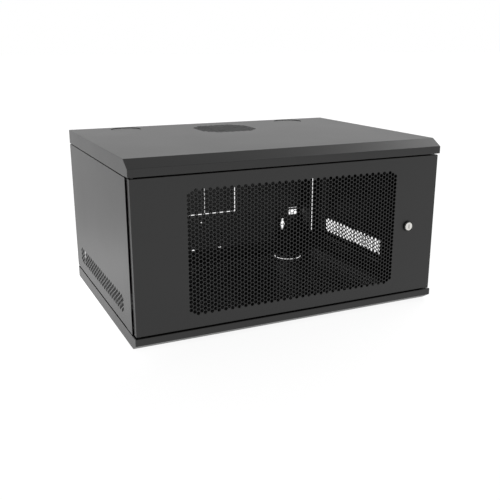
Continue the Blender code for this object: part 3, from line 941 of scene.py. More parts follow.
class Shader(NodeTree):
    """One material: its Principled shader and the nodes that drive it."""

    def __init__(self, name: str) -> None:
        """Start a plain material.

        Args:
            name: The material's name.
        """
        self.material = bpy.data.materials.new(name)
        super().__init__(self.material)
        self.surface = self.node("ShaderNodeBsdfPrincipled", {}, {})
        self.node("ShaderNodeOutputMaterial", {}, {"Surface": self.surface.outputs["BSDF"]})
        self.place = self.node("ShaderNodeTexCoord", {}, {}).outputs["Object"]

    def maths(self, operation: str, *terms: Number) -> Value:
        """One Math node on numbers or values."""
        made = self.node("ShaderNodeMath", {"operation": operation}, dict(enumerate(terms)))
        return Value(self, made.outputs["Value"])

    def noise(self, size: float, detail: float = 2.0, stretch: Triple | None = None) -> Value:
        """Soft random variation about 0.5.

        Args:
            size: About how wide its blotches are, in metres.
            detail: How many finer layers it has.
            stretch: How much it is squeezed along each axis.

        Returns:
            The value.
        """
        place = self.place
        if stretch is not None:
            place = self.node("ShaderNodeMapping", {"vector_type": "POINT"},
                              {"Vector": place, "Scale": stretch}).outputs["Vector"]
        made = self.node("ShaderNodeTexNoise", {},
                         {"Vector": place, "Scale": 1 / size, "Detail": detail})
        return Value(self, made.outputs["Fac"])

    def attribute(self, name: str) -> Value:
        """A number stored on the piece's own points, or 0 where it has none."""
        made = self.node("ShaderNodeAttribute", {"attribute_name": name}, {})
        return Value(self, made.outputs["Fac"])

    def distance(self, centre: Triple, keep: Triple = (1.0, 1.0, 1.0)) -> Value:
        """How far the surface's point is from a centre.

        Args:
            centre: The centre.
            keep: 1 for each axis that counts and 0 for each that doesn't.

        Returns:
            The value, in metres.
        """
        scaled = self.node("ShaderNodeVectorMath", {"operation": "MULTIPLY"},
                           {0: self.place, 1: keep})
        near = tuple(c * k for c, k in zip(centre, keep))
        made = self.node("ShaderNodeVectorMath", {"operation": "DISTANCE"},
                         {0: scaled.outputs["Vector"], 1: near})
        return Value(self, made.outputs["Value"])

    def blend(self, share: Number, first: Any, second: Any) -> bpy.types.NodeSocket:
        """A colour between two others."""
        made = self.node("ShaderNodeMix", {"data_type": "RGBA"}, {0: share, 6: first, 7: second})
        return made.outputs[2]

    def bump(self, height: Value, distance: float, strength: float) -> bpy.types.NodeSocket:
        """A normal bent by a height of the given depth in metres."""
        made = self.node("ShaderNodeBump", {}, {"Height": height, "Distance": distance,
                                                "Strength": strength})
        return made.outputs["Normal"]


def grey(level: float, warmth: float = 0.0) -> tuple[float, float, float, float]:
    """A near-neutral colour; warmth moves it from blue to red."""
    return (level * (1 + warmth), level, level * (1 - warmth), 1.0)


@dataclass(frozen=True)
class PowderPaint:
    """Black powder paint: fine orange peel, slightly uneven, thinner over the folds.

    Attributes:
        name: The material's name.
        level: How light the paint's own colour is.
        roughness: Its middle roughness.
        peel: The orange peel's width in metres.
        peel_height: The orange peel's height in metres.
    """

    name: str
    level: float
    roughness: float
    peel: float = 0.0014
    peel_height: float = 0.000004

    def material(self) -> bpy.types.Material:
        """Build the paint.

        Returns:
            The material.
        """
        shader = Shader(self.name)
        drift = shader.noise(0.16, 3.0)
        peel = shader.noise(self.peel, 1.0)
        grain = shader.noise(self.peel / 5, 1.0)
        fold = shader.attribute("fold")
        uneven = shader.blend(drift.above(0.3, 0.7), grey(self.level * 0.85, -0.02),
                              grey(self.level * 1.15, 0.01))
        shader.feed(shader.surface, {
            "Base Color": shader.blend(fold * 0.35, uneven, grey(self.level * 1.8)),
            "Roughness": self.roughness + 0.06 * (drift - 0.5) + 0.08 * (grain - 0.5)
            - 0.04 * fold,
            "Normal": shader.bump(peel + 0.3 * grain, self.peel_height, 1.0),
            "IOR": 1.5,
        })
        return shader.material


@dataclass(frozen=True)
class Plating:
    """Plated metal: brushed along one axis, with faint clouds of tint.

    Attributes:
        name: The material's name.
        dull: The darker tint.
        bright: The lighter tint.
        roughness: Its middle roughness.
        brushed: How much the brushing is squeezed along each axis.
    """

    name: str
    dull: Triple
    bright: Triple
    roughness: float
    brushed: Triple = (1.0, 1.0, 0.06)

    def material(self) -> bpy.types.Material:
        """Build the plating.

        Returns:
            The material.
        """
        shader = Shader(self.name)
        clouds = shader.noise(0.006, 3.0)
        brushing = shader.noise(0.00035, 2.0, self.brushed)
        tint = (0.7 * clouds + 0.3 * brushing).above(0.3, 0.7)
        shader.feed(shader.surface, {
            "Base Color": shader.blend(tint, (*self.dull, 1.0), (*self.bright, 1.0)),
            "Metallic": 1.0,
            "Roughness": self.roughness + 0.15 * (clouds - 0.5) + 0.1 * (brushing - 0.5),
            "Normal": shader.bump(brushing, 0.000004, 0.6),
        })
        return shader.material


@dataclass(frozen=True)
class TurnedPlating:
    """Bright plating over a turned face: fine rings about the axis, worn by keys.

    Attributes:
        name: The material's name.
        centre: A point on the axis, which lies along Y.
        tint: The plating's colour.
        roughness: Its middle roughness.
        ring: The width of one turned ring in metres.
    """

    name: str
    centre: Triple
    tint: Triple
    roughness: float
    ring: float = 0.00045

    def material(self) -> bpy.types.Material:
        """Build the plating: its height is the sine of the distance from the axis.

        Returns:
            The material.
        """
        shader = Shader(self.name)
        reach = shader.distance(self.centre, (1.0, 0.0, 1.0))
        rings = shader.maths("SINE", reach * (2 * pi / self.ring))
        wear = shader.noise(0.0025, 3.0)
        worn = wear.above(0.45, 0.7)
        dull = tuple(0.82 * c for c in self.tint)
        shader.feed(shader.surface, {
            "Base Color": shader.blend(worn, (*self.tint, 1.0), (*dull, 1.0)),
            "Metallic": 1.0,
            "Roughness": self.roughness + 0.12 * worn + 0.02 * rings,
            "Normal": shader.bump(rings + 0.4 * wear, 0.000004, 0.5),
        })
        return shader.material


@dataclass(frozen=True)
class Lacquer:
    """Smooth black lacquer on a cast piece, rubbed a little duller in patches."""

    name: str
    level: float
    roughness: float

    def material(self) -> bpy.types.Material:
        """Build the lacquer.

        Returns:
            The material.
        """
        shader = Shader(self.name)
        rubbed = shader.noise(0.004, 3.0).above(0.4, 0.75)
        pores = shader.noise(0.0006, 1.0)
        shader.feed(shader.surface, {
            "Base Color": shader.blend(rubbed, grey(self.level), grey(self.level * 1.6)),
            "Roughness": self.roughness + 0.12 * rubbed + 0.05 * (pores - 0.5),
            "Normal": shader.bump(pores, 0.000005, 0.5),
            "IOR": 1.5,
        })
        return shader.material


@dataclass(frozen=True)
class StudioFloor:
    """A pale floor that is lit evenly from within, and more strongly at one place.

    Attributes:
        name: The material's name.
        level: The floor's own light.
        pool: How much stronger the light is in the middle of the pool.
        centre: The pool's middle.
        reach: The pool's radius.
    """

    name: str
    level: float
    pool: float
    centre: Triple
    reach: float

    def material(self) -> bpy.types.Material:
        """Build the floor.

        Returns:
            The material.
        """
        shader = Shader(self.name)
        pool = 1.0 - shader.distance(self.centre).above(0.0, self.reach)
        cloud = shader.noise(0.6, 2.0)
        shader.feed(shader.surface, {
            "Base Color": shader.blend(cloud, grey(0.09), grey(0.11)),
            "Roughness": 0.7 + 0.1 * cloud,
            "Emission Color": shader.blend(pool, grey(self.level), grey(self.level * self.pool)),
            "Emission Strength": 1.0,
        })
        return shader.material


Finish = Union[PowderPaint, Plating, TurnedPlating, Lacquer, StudioFloor]


class Paintshop:
    """Makes each finish once and puts it on pieces."""

    def __init__(self) -> None:
        """Start with no finishes made."""
        self._made: dict[str, bpy.types.Material] = {}

    def dress(self, thing: bpy.types.Object, finish: Finish) -> None:
        """Give an object one finish, which is built when it is first asked for.

        Args:
            thing: The object.
            finish: The finish.
        """
        if finish.name not in self._made:
            self._made[finish.name] = finish.material()
        thing.data.materials.clear()
        thing.data.materials.append(self._made[finish.name])

    def piece(self, name: str, solid: Solid, finish: Finish, slot: Slot, body: Body,
              *stands_for: str) -> bpy.types.Object:
        """Make a solid an object that rides on a body and stands for CAD nodes.

        Args:
            name: The piece's name.
            solid: Its closed mesh.
            finish: Its finish.
            slot: The record's slot for the finish; not used.
            body: The body it moves with.
            stands_for: The CAD nodes that it replaces.

        Returns:
            The object.
        """
        mesh = bpy.data.meshes.new(name)
        mesh.vertices.add(len(solid.points))
        mesh.vertices.foreach_set("co", solid.points.astype(np.float32).ravel())
        corners = np.concatenate([faces.ravel() for faces in solid.faces]).astype(np.int32)
        sizes = np.concatenate([np.full(len(faces), faces.shape[1]) for faces in solid.faces])
        mesh.loops.add(len(corners))
        mesh.loops.foreach_set("vertex_index", corners)
        mesh.polygons.add(len(sizes))
        mesh.polygons.foreach_set("loop_start", (np.cumsum(sizes) - sizes).astype(np.int32))
        mesh.update(calc_edges=True)
        mesh.shade_smooth()
        if solid.corners is None:
            mesh.set_sharp_from_angle(angle=SMOOTH_LIMIT)
        else:
            normals = np.concatenate([c.reshape(-1, 3) for c in solid.corners])
            mesh.normals_split_custom_set(normals.tolist())
        folds = mesh.attributes.new("fold", "FLOAT", "POINT")
        folds.data.foreach_set("value", solid.fold.astype(np.float32))
        thing = bpy.data.objects.new(name, mesh)
        bpy.context.scene.collection.objects.link(thing)
        self.dress(thing, finish)
        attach(thing, body.value)
        if stands_for:
            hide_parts(*stands_for)
        LOG.info("%s: %d points, %d faces", name, len(solid.points), len(sizes))
        return thing

    def keep(self, node: str, finish: Finish, rounding: float = 0.0) -> None:
        """Keep a CAD node's own shape: give it a finish and, if asked, softened edges.

        Args:
            node: The node's name.
            finish: Its finish.
            rounding: How wide the softened edges are, or 0 for none.
        """
        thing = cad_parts[node]
        self.dress(thing, finish)
        if rounding:
            weld = thing.modifiers.new("weld", "WELD")
            weld.merge_threshold = 1e-5
            bevel = thing.modifiers.new("softened edges", "BEVEL")
            bevel.width = rounding
            bevel.segments = 2
            bevel.limit_method = "ANGLE"
            bevel.angle_limit = SMOOTH_LIMIT
            bevel.harden_normals = True
        LOG.info("%s: kept from the frame", node)


# ---- this cabinet's finishes ---------------------------------------------------------

CASING_PAINT = PowderPaint("casing_paint", 0.004, 0.40)
# Painted light: the rear panel and its cable-entry blanks get a much lighter copy of the casing's
# black paint (0.060 against 0.004), which stands in for light falling on the panel inside the
# cabinet.
REAR_PAINTED_LIGHT = PowderPaint("rear_panel_painted_light", 0.060, 0.40)
FRAME_PAINT = PowderPaint("frame_paint", 0.0085, 0.30)
ZINC = Plating("zinc_plating", (0.50, 0.51, 0.52), (0.68, 0.67, 0.63), 0.34)
LOCK_LACQUER = Lacquer("lock_lacquer", 0.006, 0.16)


# ---- where things are ----------------------------------------------------------------


@dataclass(frozen=True)
class Extent:
    """A CAD node's box."""

    low: Array
    high: Array

    @classmethod
    def of(cls, node: str) -> Extent:
        """The box of a node at rest."""
        low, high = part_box(node)
        return cls(np.array(low), np.array(high))

    @property
    def middle(self) -> Array:
        """The box's centre."""
        return (self.low + self.high) / 2


def lock_axis() -> Array:
    """A point on the lock's axis, at its face."""
    box = Extent.of("lock_barrel")
    return np.array((box.middle[0], box.low[1], box.middle[2]))


def hinge_axis() -> Pair:
    """Where the hinge pins stand, as (x, y)."""
    box = Extent.of("hinge_pin_upper")
    return box.low[0] + (box.high[1] - box.low[1]) / 2, box.middle[1]


# ---- sub-assemblies ------------------------------------------------------------------


@dataclass
class Casing:
    """The top cover and the base with their cable-hole blanks, and the side panels."""

    shop: Paintshop
    cover_slope: Pair = (0.0224, 0.0131)
    base_slope: Pair = (0.0183, 0.0113)
    lip_return: float = 0.017
    blank_opening: float = 0.031
    blank_gap: float = 0.0007
    blank_steps: int = 96
    blank_rounding: float = 0.0004
    web_half: float = 0.0025
    web_clearance: float = 0.00005
    grille_columns: int = 10
    grille_rows: int = 19
    grille_half: float = 0.0622
    grille_corner: float = 0.027
    grille_pitch: float = 0.00728
    grille_hole: float = 0.0031
    grille_centre: Pair = (0.002, 0.1114)
    pin_clearance: float = 0.0028
    side_plain: float = 0.033
    vent_columns: int = 47
    vent_spacing: float = 0.0071
    vent_pitch: float = 0.00875
    vent_hole: float = 0.0034
    vent_sides: int = 16
    vent_rows: Sequence[int] = (3, 4)
    vent_middle: Pair = (0.0114, 0.06265)

    def build(self) -> None:
        """Make every piece of the casing."""
        self._cover()
        self._base()
        for side in Side:
            self._side_panel(side)

    def _grille(self) -> list[Array]:
        """Clip a staggered field of holes to an octagon.

        A hole is kept where the larger of its two distances from the middle is under the
        octagon's half width, and their sum is under the octagon's corner cut.

        Returns:
            The holes' outlines.
        """
        spacing = self.grille_pitch * sqrt(3) / 2
        columns = np.arange(-self.grille_columns, self.grille_columns + 1)
        centres = staggered(columns, self.grille_rows + (columns % 2 == 0), spacing,
                            self.grille_pitch)
        reach = self.grille_half - self.grille_hole
        corner = 2 * self.grille_half - self.grille_corner - 1.4 * self.grille_hole
        inside = (np.abs(centres).max(axis=1) < reach) & (np.abs(centres).sum(axis=1) < corner)
        return punched(centres[inside] + np.array(self.grille_centre), self.grille_hole,
                       PERFORATION_SIDES)

    def _tray(self, node: str, up: int, slope: Pair, openings: Sequence[Array]) -> Skin:
        """A cover or base that fills its CAD node's box.

        Args:
            node: The CAD node.
            up: 1 for the cover, -1 for the base.
            slope: The sloped front strip's depth and height.
            openings: Outlines cut in the flat sheet.

        Returns:
            The skin.
        """
        box = Extent.of(node)
        flat, rim = (box.high[2], box.low[2]) if up > 0 else (box.low[2], box.high[2])
        pin_hole = ring(hinge_axis(), self.pin_clearance, BORE_SIDES)
        return Tray(box.high[0], box.low[1], box.high[1], flat, rim, slope, self.lip_return,
                    openings, [pin_hole]).skin()

    def _blanks(self, stem: str, up: int, flat: float) -> list[Array]:
        """Make the two round blanks of one sheet.

        Args:
            stem: How the CAD nodes' names start.
            up: 1 for the cover's blanks, -1 for the base's.
            flat: The height of the sheet's outer face.

        Returns:
            The outlines of their openings in the sheet.
        """
        openings = []
        for side in Side:
            node = f"{stem}_{side.word}"
            box = Extent.of(node)
            centre = (box.middle[0], box.middle[1])
            openings.append(ring(centre, self.blank_opening, self.blank_steps))
            outer = box.high[2] if up > 0 else box.low[2]
            self.shop.piece(f"{node}_blank", self._blank(centre, outer, flat, up),
                            CASING_PAINT, Slot.CASING, Body.CARCASS, node)
        return openings

    def _blank(self, centre: Pair, outer: float, flat: float, up: int) -> Solid:
        """A disc pushed in out of its sheet, which two short sloping webs still hold.

        The disc's point is the centre plus a radius times cos(a) and sin(a), let down a
        little at the rim. A web goes on from the rim to the opening's edge and rises half
        of the way to the sheet.

        Args:
            centre: The disc's middle, as (x, y).
            outer: The height of its outer face.
            flat: The height of the sheet's outer face.
            up: 1 where the outer face looks up, -1 where it looks down.

        Returns:
            The blank.
        """
        facing = np.array((0.0, 0.0, float(up)))
        steps, rounding = self.blank_steps, self.blank_rounding
        angle = np.arange(steps) * 2 * pi / steps
        out = np.column_stack([np.cos(angle), np.sin(angle), np.zeros(steps)])
        middle = np.array((*centre, outer))
        edge = self.blank_opening - self.blank_gap
        radii = np.array([0.0, 0.5 * edge, edge - 1.5 * rounding, edge - 0.5 * rounding, edge])
        drop = rounding * np.array([0.0, 0.0, 0.0, 0.3, 1.0])
        disc = woven(middle + radii[None, :, None] * out[:, None]
                     - drop[None, :, None] * facing,
                     np.broadcast_to(facing, (steps, len(radii), 3)), None, True)
        skins = [disc]
        rise = abs(flat - outer) - rounding
        for side in Side:
            across = np.array((float(side.value), 0.0, 0.0))
            turn = np.arcsin(np.linspace(-1, 1, 3) * self.web_half / edge)
            around = (np.cos(turn)[:, None] * across
                      + np.sin(turn)[:, None] * np.array((0.0, 1.0, 0.0)))
            reach = np.array([edge, self.blank_opening - self.web_clearance])
            lift = np.array([-rounding, rise / 2])
            skins.append(woven(middle + reach[None, :, None] * around[:, None]
                               + lift[None, :, None] * facing,
                               np.broadcast_to(facing, (3, 2, 3))))
        return Skin.joined(skins).thickened(SHEET)

    def _cover(self) -> None:
        """The top cover, with the grille over the fan's place."""
        top = Extent.of("top_cover").high[2]
        openings = self._blanks("top_knockout", 1, top)
        skin = self._tray("top_cover", 1, self.cover_slope, [*openings, *self._grille()])
        self.shop.piece("cover_shell", skin.thickened(SHEET), CASING_PAINT, Slot.CASING,
                        Body.CARCASS, "top_cover")

    def _base(self) -> None:
        """The base."""
        openings = self._blanks("floor_knockout", -1, 0.0)
        skin = self._tray("base_pan", -1, self.base_slope, openings)
        self.shop.piece("base_shell", skin.thickened(SHEET), CASING_PAINT, Slot.CASING,
                        Body.CARCASS, "base_pan")

    def _side_panel(self, side: Side) -> None:
        """One side panel with its low band of round vents.

        Args:
            side: Which one.
        """
        node = f"{side.word}_side_panel"
        box = Extent.of(node)
        x = box.low[0] if side is Side.LEFT else box.high[0]
        facing = (float(side.value), 0.0, 0.0)
        plane = Plane((x, 0.0, 0.0), (0.0, 1.0, 0.0), (0.0, 0.0, 1.0), facing)
        half = self.vent_columns // 2
        columns = np.arange(-half, half + 1)
        counts = np.where((columns + half) % 2 == 0, *self.vent_rows)
        vents = staggered(columns, counts, self.vent_spacing, self.vent_pitch)
        pan = Pan(plane, (box.low[1], box.low[2]), (box.high[1], box.high[2]),
                  box.high[0] - box.low[0],
                  punched(vents + np.array(self.vent_middle), self.vent_hole, self.vent_sides),
                  plain=self.side_plain)
        self.shop.piece(f"{side.word}_side_sheet", pan.skin().thickened(SHEET), CASING_PAINT,
                        Slot.CASING, Body.CARCASS, node)


@dataclass
class Rear:
    """The rear panel, its four wall plates and the two blanks of its cable entry."""

    shop: Paintshop
    fold_half: float = 0.2475
    slit_x: float = 0.2829
    slit_end: float = 0.0395
    notch_x: float = 0.0335
    notch_half: float = 0.0030
    notch_top: float = 0.0260
    entry_centre: float = -0.0029
    entry_half: float = 0.0771
    entry_z: Pair = (0.1083, 0.2100)
    entry_gap: float = 0.0020
    entry_corner: float = 0.0012
    web_half: float = 0.0015
    web_shares: Pair = (0.75, 0.25)
    earth_hole: Triple = (-0.0118, 0.0895, 0.0014)
    earth_sides: int = 20
    keyhole_x: float = 0.2005
    keyhole_z: float = 0.0640
    keyhole_head: float = 0.0065
    keyhole_slot: float = 0.0032
    keyhole_reach: float = 0.014
    tie_x: Pair = (0.2170, 0.2400)
    tie_window: Pair = (0.0855, 0.0980)
    tie_slot: Pair = (0.1020, 0.1035)
    tie_corners: Pair = (0.0025, 0.0003)
    plate_corner: float = 0.003

    def build(self) -> None:
        """Make the panel, the plates and the blanks."""
        box = Extent.of("rear_panel")
        self._panel(box)
        for side in Side:
            for level in Level:
                self._wall_plate(side, level, box)
            self._entry_blank(side)

    def _plane(self, y: float, facing: float) -> Plane:
        """An upright plane across the cabinet, as (x, z)."""
        return Plane((0.0, y, 0.0), (1.0, 0.0, 0.0), (0.0, 0.0, 1.0), (0.0, facing, 0.0))

    def _openings(self, side: Side, level: Level, box: Extent) -> list[Array]:
        """A corner's keyhole, tie window and thin tie slot.

        Args:
            side: The corner's side.
            level: Its level; the upper openings mirror the lower ones.
            box: The rear panel's box.

        Returns:
            The three outlines, as (x, z).
        """
        mirror = box.low[2] + box.high[2]

        def height(z: float) -> float:
            """The lower corner's height, or its mirror image for the upper one."""
            return z if level is Level.LOWER else mirror - z

        xs = sorted(side.value * x for x in self.tie_x)
        windows = []
        for (low, high), radius in zip((self.tie_window, self.tie_slot), self.tie_corners):
            z0, z1 = sorted((height(low), height(high)))
            windows.append(rounded((xs[0], z0), (xs[1], z1), radius))
        centre = (side.value * self.keyhole_x, height(self.keyhole_z))
        return [keyhole(centre, self.keyhole_head, self.keyhole_slot, self.keyhole_reach),
                *windows]

    def _outline(self, box: Extent) -> Array:
        """The flat sheet's outline: stepped in at the edge slits, folds and notches.

        Args:
            box: The rear panel's box.

        Returns:
            The right half's points and their mirror images, as (x, z).
        """
        edge, fold = box.high[0], self.fold_half
        z0, z1 = box.low[2], box.high[2]
        slit_top = z0 + z1 - self.slit_end
        slit_low = self.slit_end
        inner, outer = self.notch_x - self.notch_half, self.notch_x + self.notch_half
        right = [(inner, z0 + BEND), (inner, self.notch_top), (outer, self.notch_top),
                 (outer, z0 + BEND), (fold, z0 + BEND), (fold, z0), (edge, z0),
                 (edge, slit_low), (self.slit_x, slit_low), (self.slit_x, slit_top),
                 (edge, slit_top), (edge, z1), (fold, z1), (fold, z1 - BEND)]
        return np.array(right + [(-x, z) for x, z in reversed(right)])

    def _fold(self, xs: Pair, z: float, up: float, y: float, depth: float) -> list[Skin]:
        """A stretch of the top or bottom edge folded forward.

        The bend's point is its centre plus the radius times cos(t) back and sin(t) up, with
        up taken downward at the bottom edge.

        Args:
            xs: Where the stretch starts and ends.
            z: The height of the fold's outer face.
            up: 1 for the top edge, -1 for the bottom one.
            y: The sheet's rear face.
            depth: How far forward the fold reaches.

        Returns:
            The skins of the bend and of the flat strip.
        """
        t = np.linspace(0, pi / 2, BEND_STEPS + 1)[:, None, None]
        away = np.cos(t) * np.array((0.0, 1.0, 0.0)) + np.sin(t) * np.array((0.0, 0.0, up))
        ends = np.array(xs)[None, :, None] * np.array((1.0, 0.0, 0.0))
        centre = np.array((0.0, y - BEND, z - up * BEND))
        bend = woven(centre + ends + BEND * away, np.broadcast_to(away, (BEND_STEPS + 1, 2, 3)),
                     np.broadcast_to(np.sin(2 * t[..., 0]), (BEND_STEPS + 1, 2)))
        plane = Plane((0.0, 0.0, z), (1.0, 0.0, 0.0), (0.0, 1.0, 0.0), (0.0, 0.0, up))
        return [bend, filled([rectangle((xs[0], y - depth), (xs[1], y - BEND))], plane)]

    def _panel(self, box: Extent) -> None:
        """The rear panel with all its openings.

        Args:
            box: Its CAD node's box.
        """
        y, depth = box.high[1], box.high[1] - box.low[1]
        inner, outer = self.notch_x - self.notch_half, self.notch_x + self.notch_half
        holes = [rounded((self.entry_centre - self.entry_half, self.entry_z[0]),
                         (self.entry_centre + self.entry_half, self.entry_z[1]),
                         self.entry_corner),
                 ring(self.earth_hole[:2], self.earth_hole[2], self.earth_sides)]
        for side in Side:
            for level in Level:
                holes += self._openings(side, level, box)
        skins = [filled([self._outline(box), *holes], self._plane(y, 1.0)),
                 *self._fold((-self.fold_half, self.fold_half), box.high[2], 1.0, y, depth)]
        for xs in ((-self.fold_half, -outer), (-inner, inner), (outer, self.fold_half)):
            skins += self._fold(xs, box.low[2], -1.0, y, depth)
        # The rear sheet takes the lighter copy of the black paint: painted light on the panel.
        self.shop.piece("rear_sheet", Skin.joined(skins).thickened(SHEET), REAR_PAINTED_LIGHT,
                        Slot.CASING, Body.CARCASS, "rear_panel")

    def _wall_plate(self, side: Side, level: Level, rear: Extent) -> None:
        """One stiffening plate that shares the rear panel's corner openings.

        Args:
            side: The corner's side.
            level: Its level.
            rear: The rear panel's box.
        """
        node = f"wall_plate_{level.word}_{side.word}"
        box = Extent.of(node)
        outline = rounded((box.low[0], box.low[2]), (box.high[0], box.high[2]),
                          self.plate_corner, 5)
        skin = Skin.joined([filled([outline, *self._openings(side, level, rear)],
                                   self._plane(box.low[1], -1.0))])
        self.shop.piece(f"{node}_sheet", skin.thickened(FRAME_SHEET), FRAME_PAINT, Slot.FRAME,
                        Body.CARCASS, node)

    def _entry_blank(self, side: Side) -> None:
        """One blank of the cable entry, held by two narrow webs on top.

        Args:
            side: Which one.
        """
        node = f"rear_knockout_{side.word}"
        box = Extent.of(node)
        x0, x1, z0, z1 = box.low[0], box.high[0], box.low[2], box.high[2]
        top = self.entry_z[1] - self.entry_gap
        webs = [x0 + share * (x1 - x0) for share in self.web_shares]
        outline = [(x0, z0), (x1, z0), (x1, top)]
        for x in webs:
            outline += [(x + self.web_half, top), (x + self.web_half, z1),
                        (x - self.web_half, z1), (x - self.web_half, top)]
        outline.append((x0, top))
        skin = Skin.joined([filled([np.array(outline)], self._plane(box.high[1], 1.0))])
        # The entry blank takes the lighter copy of the black paint: painted light on the blank.
        self.shop.piece(f"{node}_sheet", skin.thickened(SHEET), REAR_PAINTED_LIGHT, Slot.CASING,
                        Body.CARCASS, node)


@dataclass
class RackFrame:
    """The corner posts, depth brackets, 19-inch rails and the rails' bolts and nuts."""

    shop: Paintshop
    unit_height: float = 0.04445
    units: int = 6
    hole_rises: Triple = (0.00635, 0.022225, 0.0381)
    hole_x: float = 0.23255
    hole_half: float = 0.00475
    hole_corner: float = 0.0005
    bolt_clearance: float = 0.0033
    bolt_radius: float = 0.003
    flats: float = 0.00476
    head: float = 0.004
    ridge: float = 0.0003
    ridge_ends: int = 33

    def build(self) -> None:
        """Make both sides of the frame."""
        for side in Side:
            self._posts(side)
            self._rail(side)
            for level in Level:
                self._bracket(side, level)
                self._bolt(side, level)
                self._nut(side, level)
        for level in Level:
            self._crossbar(level)

    def _crossbar(self, level: Level) -> None:
        """The angle that closes the front between the posts, behind the door's edge.

        Args:
            level: The lower or the upper one.
        """
        node = f"front_crossbar_{level.word}"
        box = Extent.of(node)
        up = -float(level.value)
        size = box.high - box.low
        corner = (0.0, box.low[1], box.low[2] if level is Level.LOWER else box.high[2])
        angle = Angle(corner, ((0.0, 0.0, up), (0.0, 1.0, 0.0)), (size[2], size[1]),
                      (1.0, 0.0, 0.0), (box.low[0], box.high[0]))
        self.shop.piece(f"{node}_angle", angle.skin().thickened(FRAME_SHEET), FRAME_PAINT,
                        Slot.FRAME, Body.CARCASS, node)

    def _posts(self, side: Side) -> None:
        """The front post and the rear post.

        Args:
            side: The side they stand on.
        """
        s = float(side.value)
        front = Extent.of(f"front_post_{side.word}")
        rear = Extent.of(f"rear_post_{side.word}")
        outer = front.low[0] if side is Side.LEFT else front.high[0]
        inner = rear.high[0] if side is Side.LEFT else rear.low[0]
        shapes = ((front, (outer, front.low[1]), (-s, 0.0, 0.0), (0.0, 1.0, 0.0), "front"),
                  (rear, (inner, rear.high[1]), (s, 0.0, 0.0), (0.0, -1.0, 0.0), "rear"))
        for box, corner, across, back, word in shapes:
            size = box.high - box.low
            angle = Angle((*corner, 0.0), (across, back), (size[0], size[1]), (0.0, 0.0, 1.0),
                          (box.low[2], box.high[2]))
            node = f"{word}_post_{side.word}"
            self.shop.piece(f"{node}_angle", angle.skin().thickened(FRAME_SHEET), FRAME_PAINT,
                            Slot.FRAME, Body.CARCASS, node)

    def _bolt_hole(self, side: Side, level: Level) -> Array:
        """A rail bolt's axis, as (x, y, z)."""
        return Extent.of(f"rail_bolt_{level.word}_{side.word}").middle

    def _rail(self, side: Side) -> None:
        """A rail, with three square holes in each unit of its front flange.

        A hole's height is its unit's number times the unit's height, plus one of the three
        rises, over the rail's lower end.

        Args:
            side: The side it stands on.
        """
        node = f"rack_rail_{side.word}"
        box = Extent.of(node)
        s = float(side.value)
        web = box.low[0] if side is Side.LEFT else box.high[0]
        rises = (np.arange(self.units)[:, None] * self.unit_height
                 + np.array(self.hole_rises)).ravel() + box.low[2]
        square = rounded((-self.hole_half, -self.hole_half), (self.hole_half, self.hole_half),
                         self.hole_corner)
        centres = np.column_stack([np.full(len(rises), abs(web) - self.hole_x), rises])
        squares = list(centres[:, None] + square[None])
        bolts = [ring((place[1] - box.low[1], place[2]), self.bolt_clearance, BORE_SIDES)
                 for place in (self._bolt_hole(side, level) for level in Level)]
        size = box.high - box.low
        angle = Angle((web, box.low[1], 0.0), ((-s, 0.0, 0.0), (0.0, 1.0, 0.0)),
                      (size[0], size[1]), (0.0, 0.0, 1.0), (box.low[2], box.high[2]),
                      (squares, bolts))
        self.shop.piece(f"{node}_angle", angle.skin().thickened(FRAME_SHEET), FRAME_PAINT,
                        Slot.FRAME, Body.CARCASS, node)

    def _bracket(self, side: Side, level: Level) -> None:
        """A depth bracket, from behind the front post to just ahead of the rear one.

        Args:
            side: Its side.
            level: The lower or the upper one.
        """
        node = f"depth_bracket_{level.word}_{side.word}"
        box = Extent.of(node)
        s, up = float(side.value), -float(level.value)
        web = box.high[0] if side is Side.LEFT else box.low[0]
        flange_z = box.low[2] if level is Level.LOWER else box.high[2]
        size = box.high - box.low
        place = self._bolt_hole(side, level)
        hole = ring((abs(place[2] - flange_z), place[1]), self.bolt_clearance, BORE_SIDES)
        angle = Angle((web, 0.0, flange_z), ((s, 0.0, 0.0), (0.0, 0.0, up)), (size[0], size[2]),
                      (0.0, 1.0, 0.0), (box.low[1], box.high[1]), ((), [hole]))
        self.shop.piece(f"{node}_angle", angle.skin().thickened(FRAME_SHEET), FRAME_PAINT,
                        Slot.FRAME, Body.CARCASS, node)

    def _bolt(self, side: Side, level: Level) -> None:
        """A hexagon-headed bolt with its thread cut as fine ridges.

        Args:
            side: Its side.
            level: The lower or the upper one.
        """
        node = f"rail_bolt_{level.word}_{side.word}"
        box = Extent.of(node)
        s = float(side.value)
        start = box.high[0] if side is Side.LEFT else box.low[0]
        length = box.high[0] - box.low[0]
        corner = self.flats * 2 / sqrt(3)
        head = [(0.0, 0.0), (self.flats * 0.96, 0.0), (corner, self.head * 0.22),
                (corner, self.head), (self.bolt_radius, self.head)]
        ridges = np.linspace(self.head + 0.0005, length - 0.0008, self.ridge_ends)
        depth = np.where(np.arange(self.ridge_ends) % 2, 0.0, self.ridge)
        shank = list(zip(self.bolt_radius - depth, ridges))
        tip = [(self.bolt_radius * 0.8, length), (0.0, length)]
        axis = Axis((start, box.middle[1], box.middle[2]), (s, 0.0, 0.0))
        skin = Skin.joined([turned([*head, *shank, *tip], axis, 24, flats=self.flats)])
        self.shop.piece(f"{node}_hex", skin.closed(), ZINC, Slot.ZINC, Body.CARCASS, node)

    def _nut(self, side: Side, level: Level) -> None:
        """A hexagon nut, chamfered on both faces.

        Args:
            side: Its side.
            level: The lower or the upper one.
        """
        node = f"rail_nut_{level.word}_{side.word}"
        box = Extent.of(node)
        height = box.high[0] - box.low[0]
        axis = Axis((box.low[0], box.middle[1], box.middle[2]), (1.0, 0.0, 0.0))
        skin = hexagon_ring(axis, height, self.flats, self.bolt_clearance)
        self.shop.piece(f"{node}_hex", skin.closed(), ZINC, Slot.ZINC, Body.CARCASS, node)


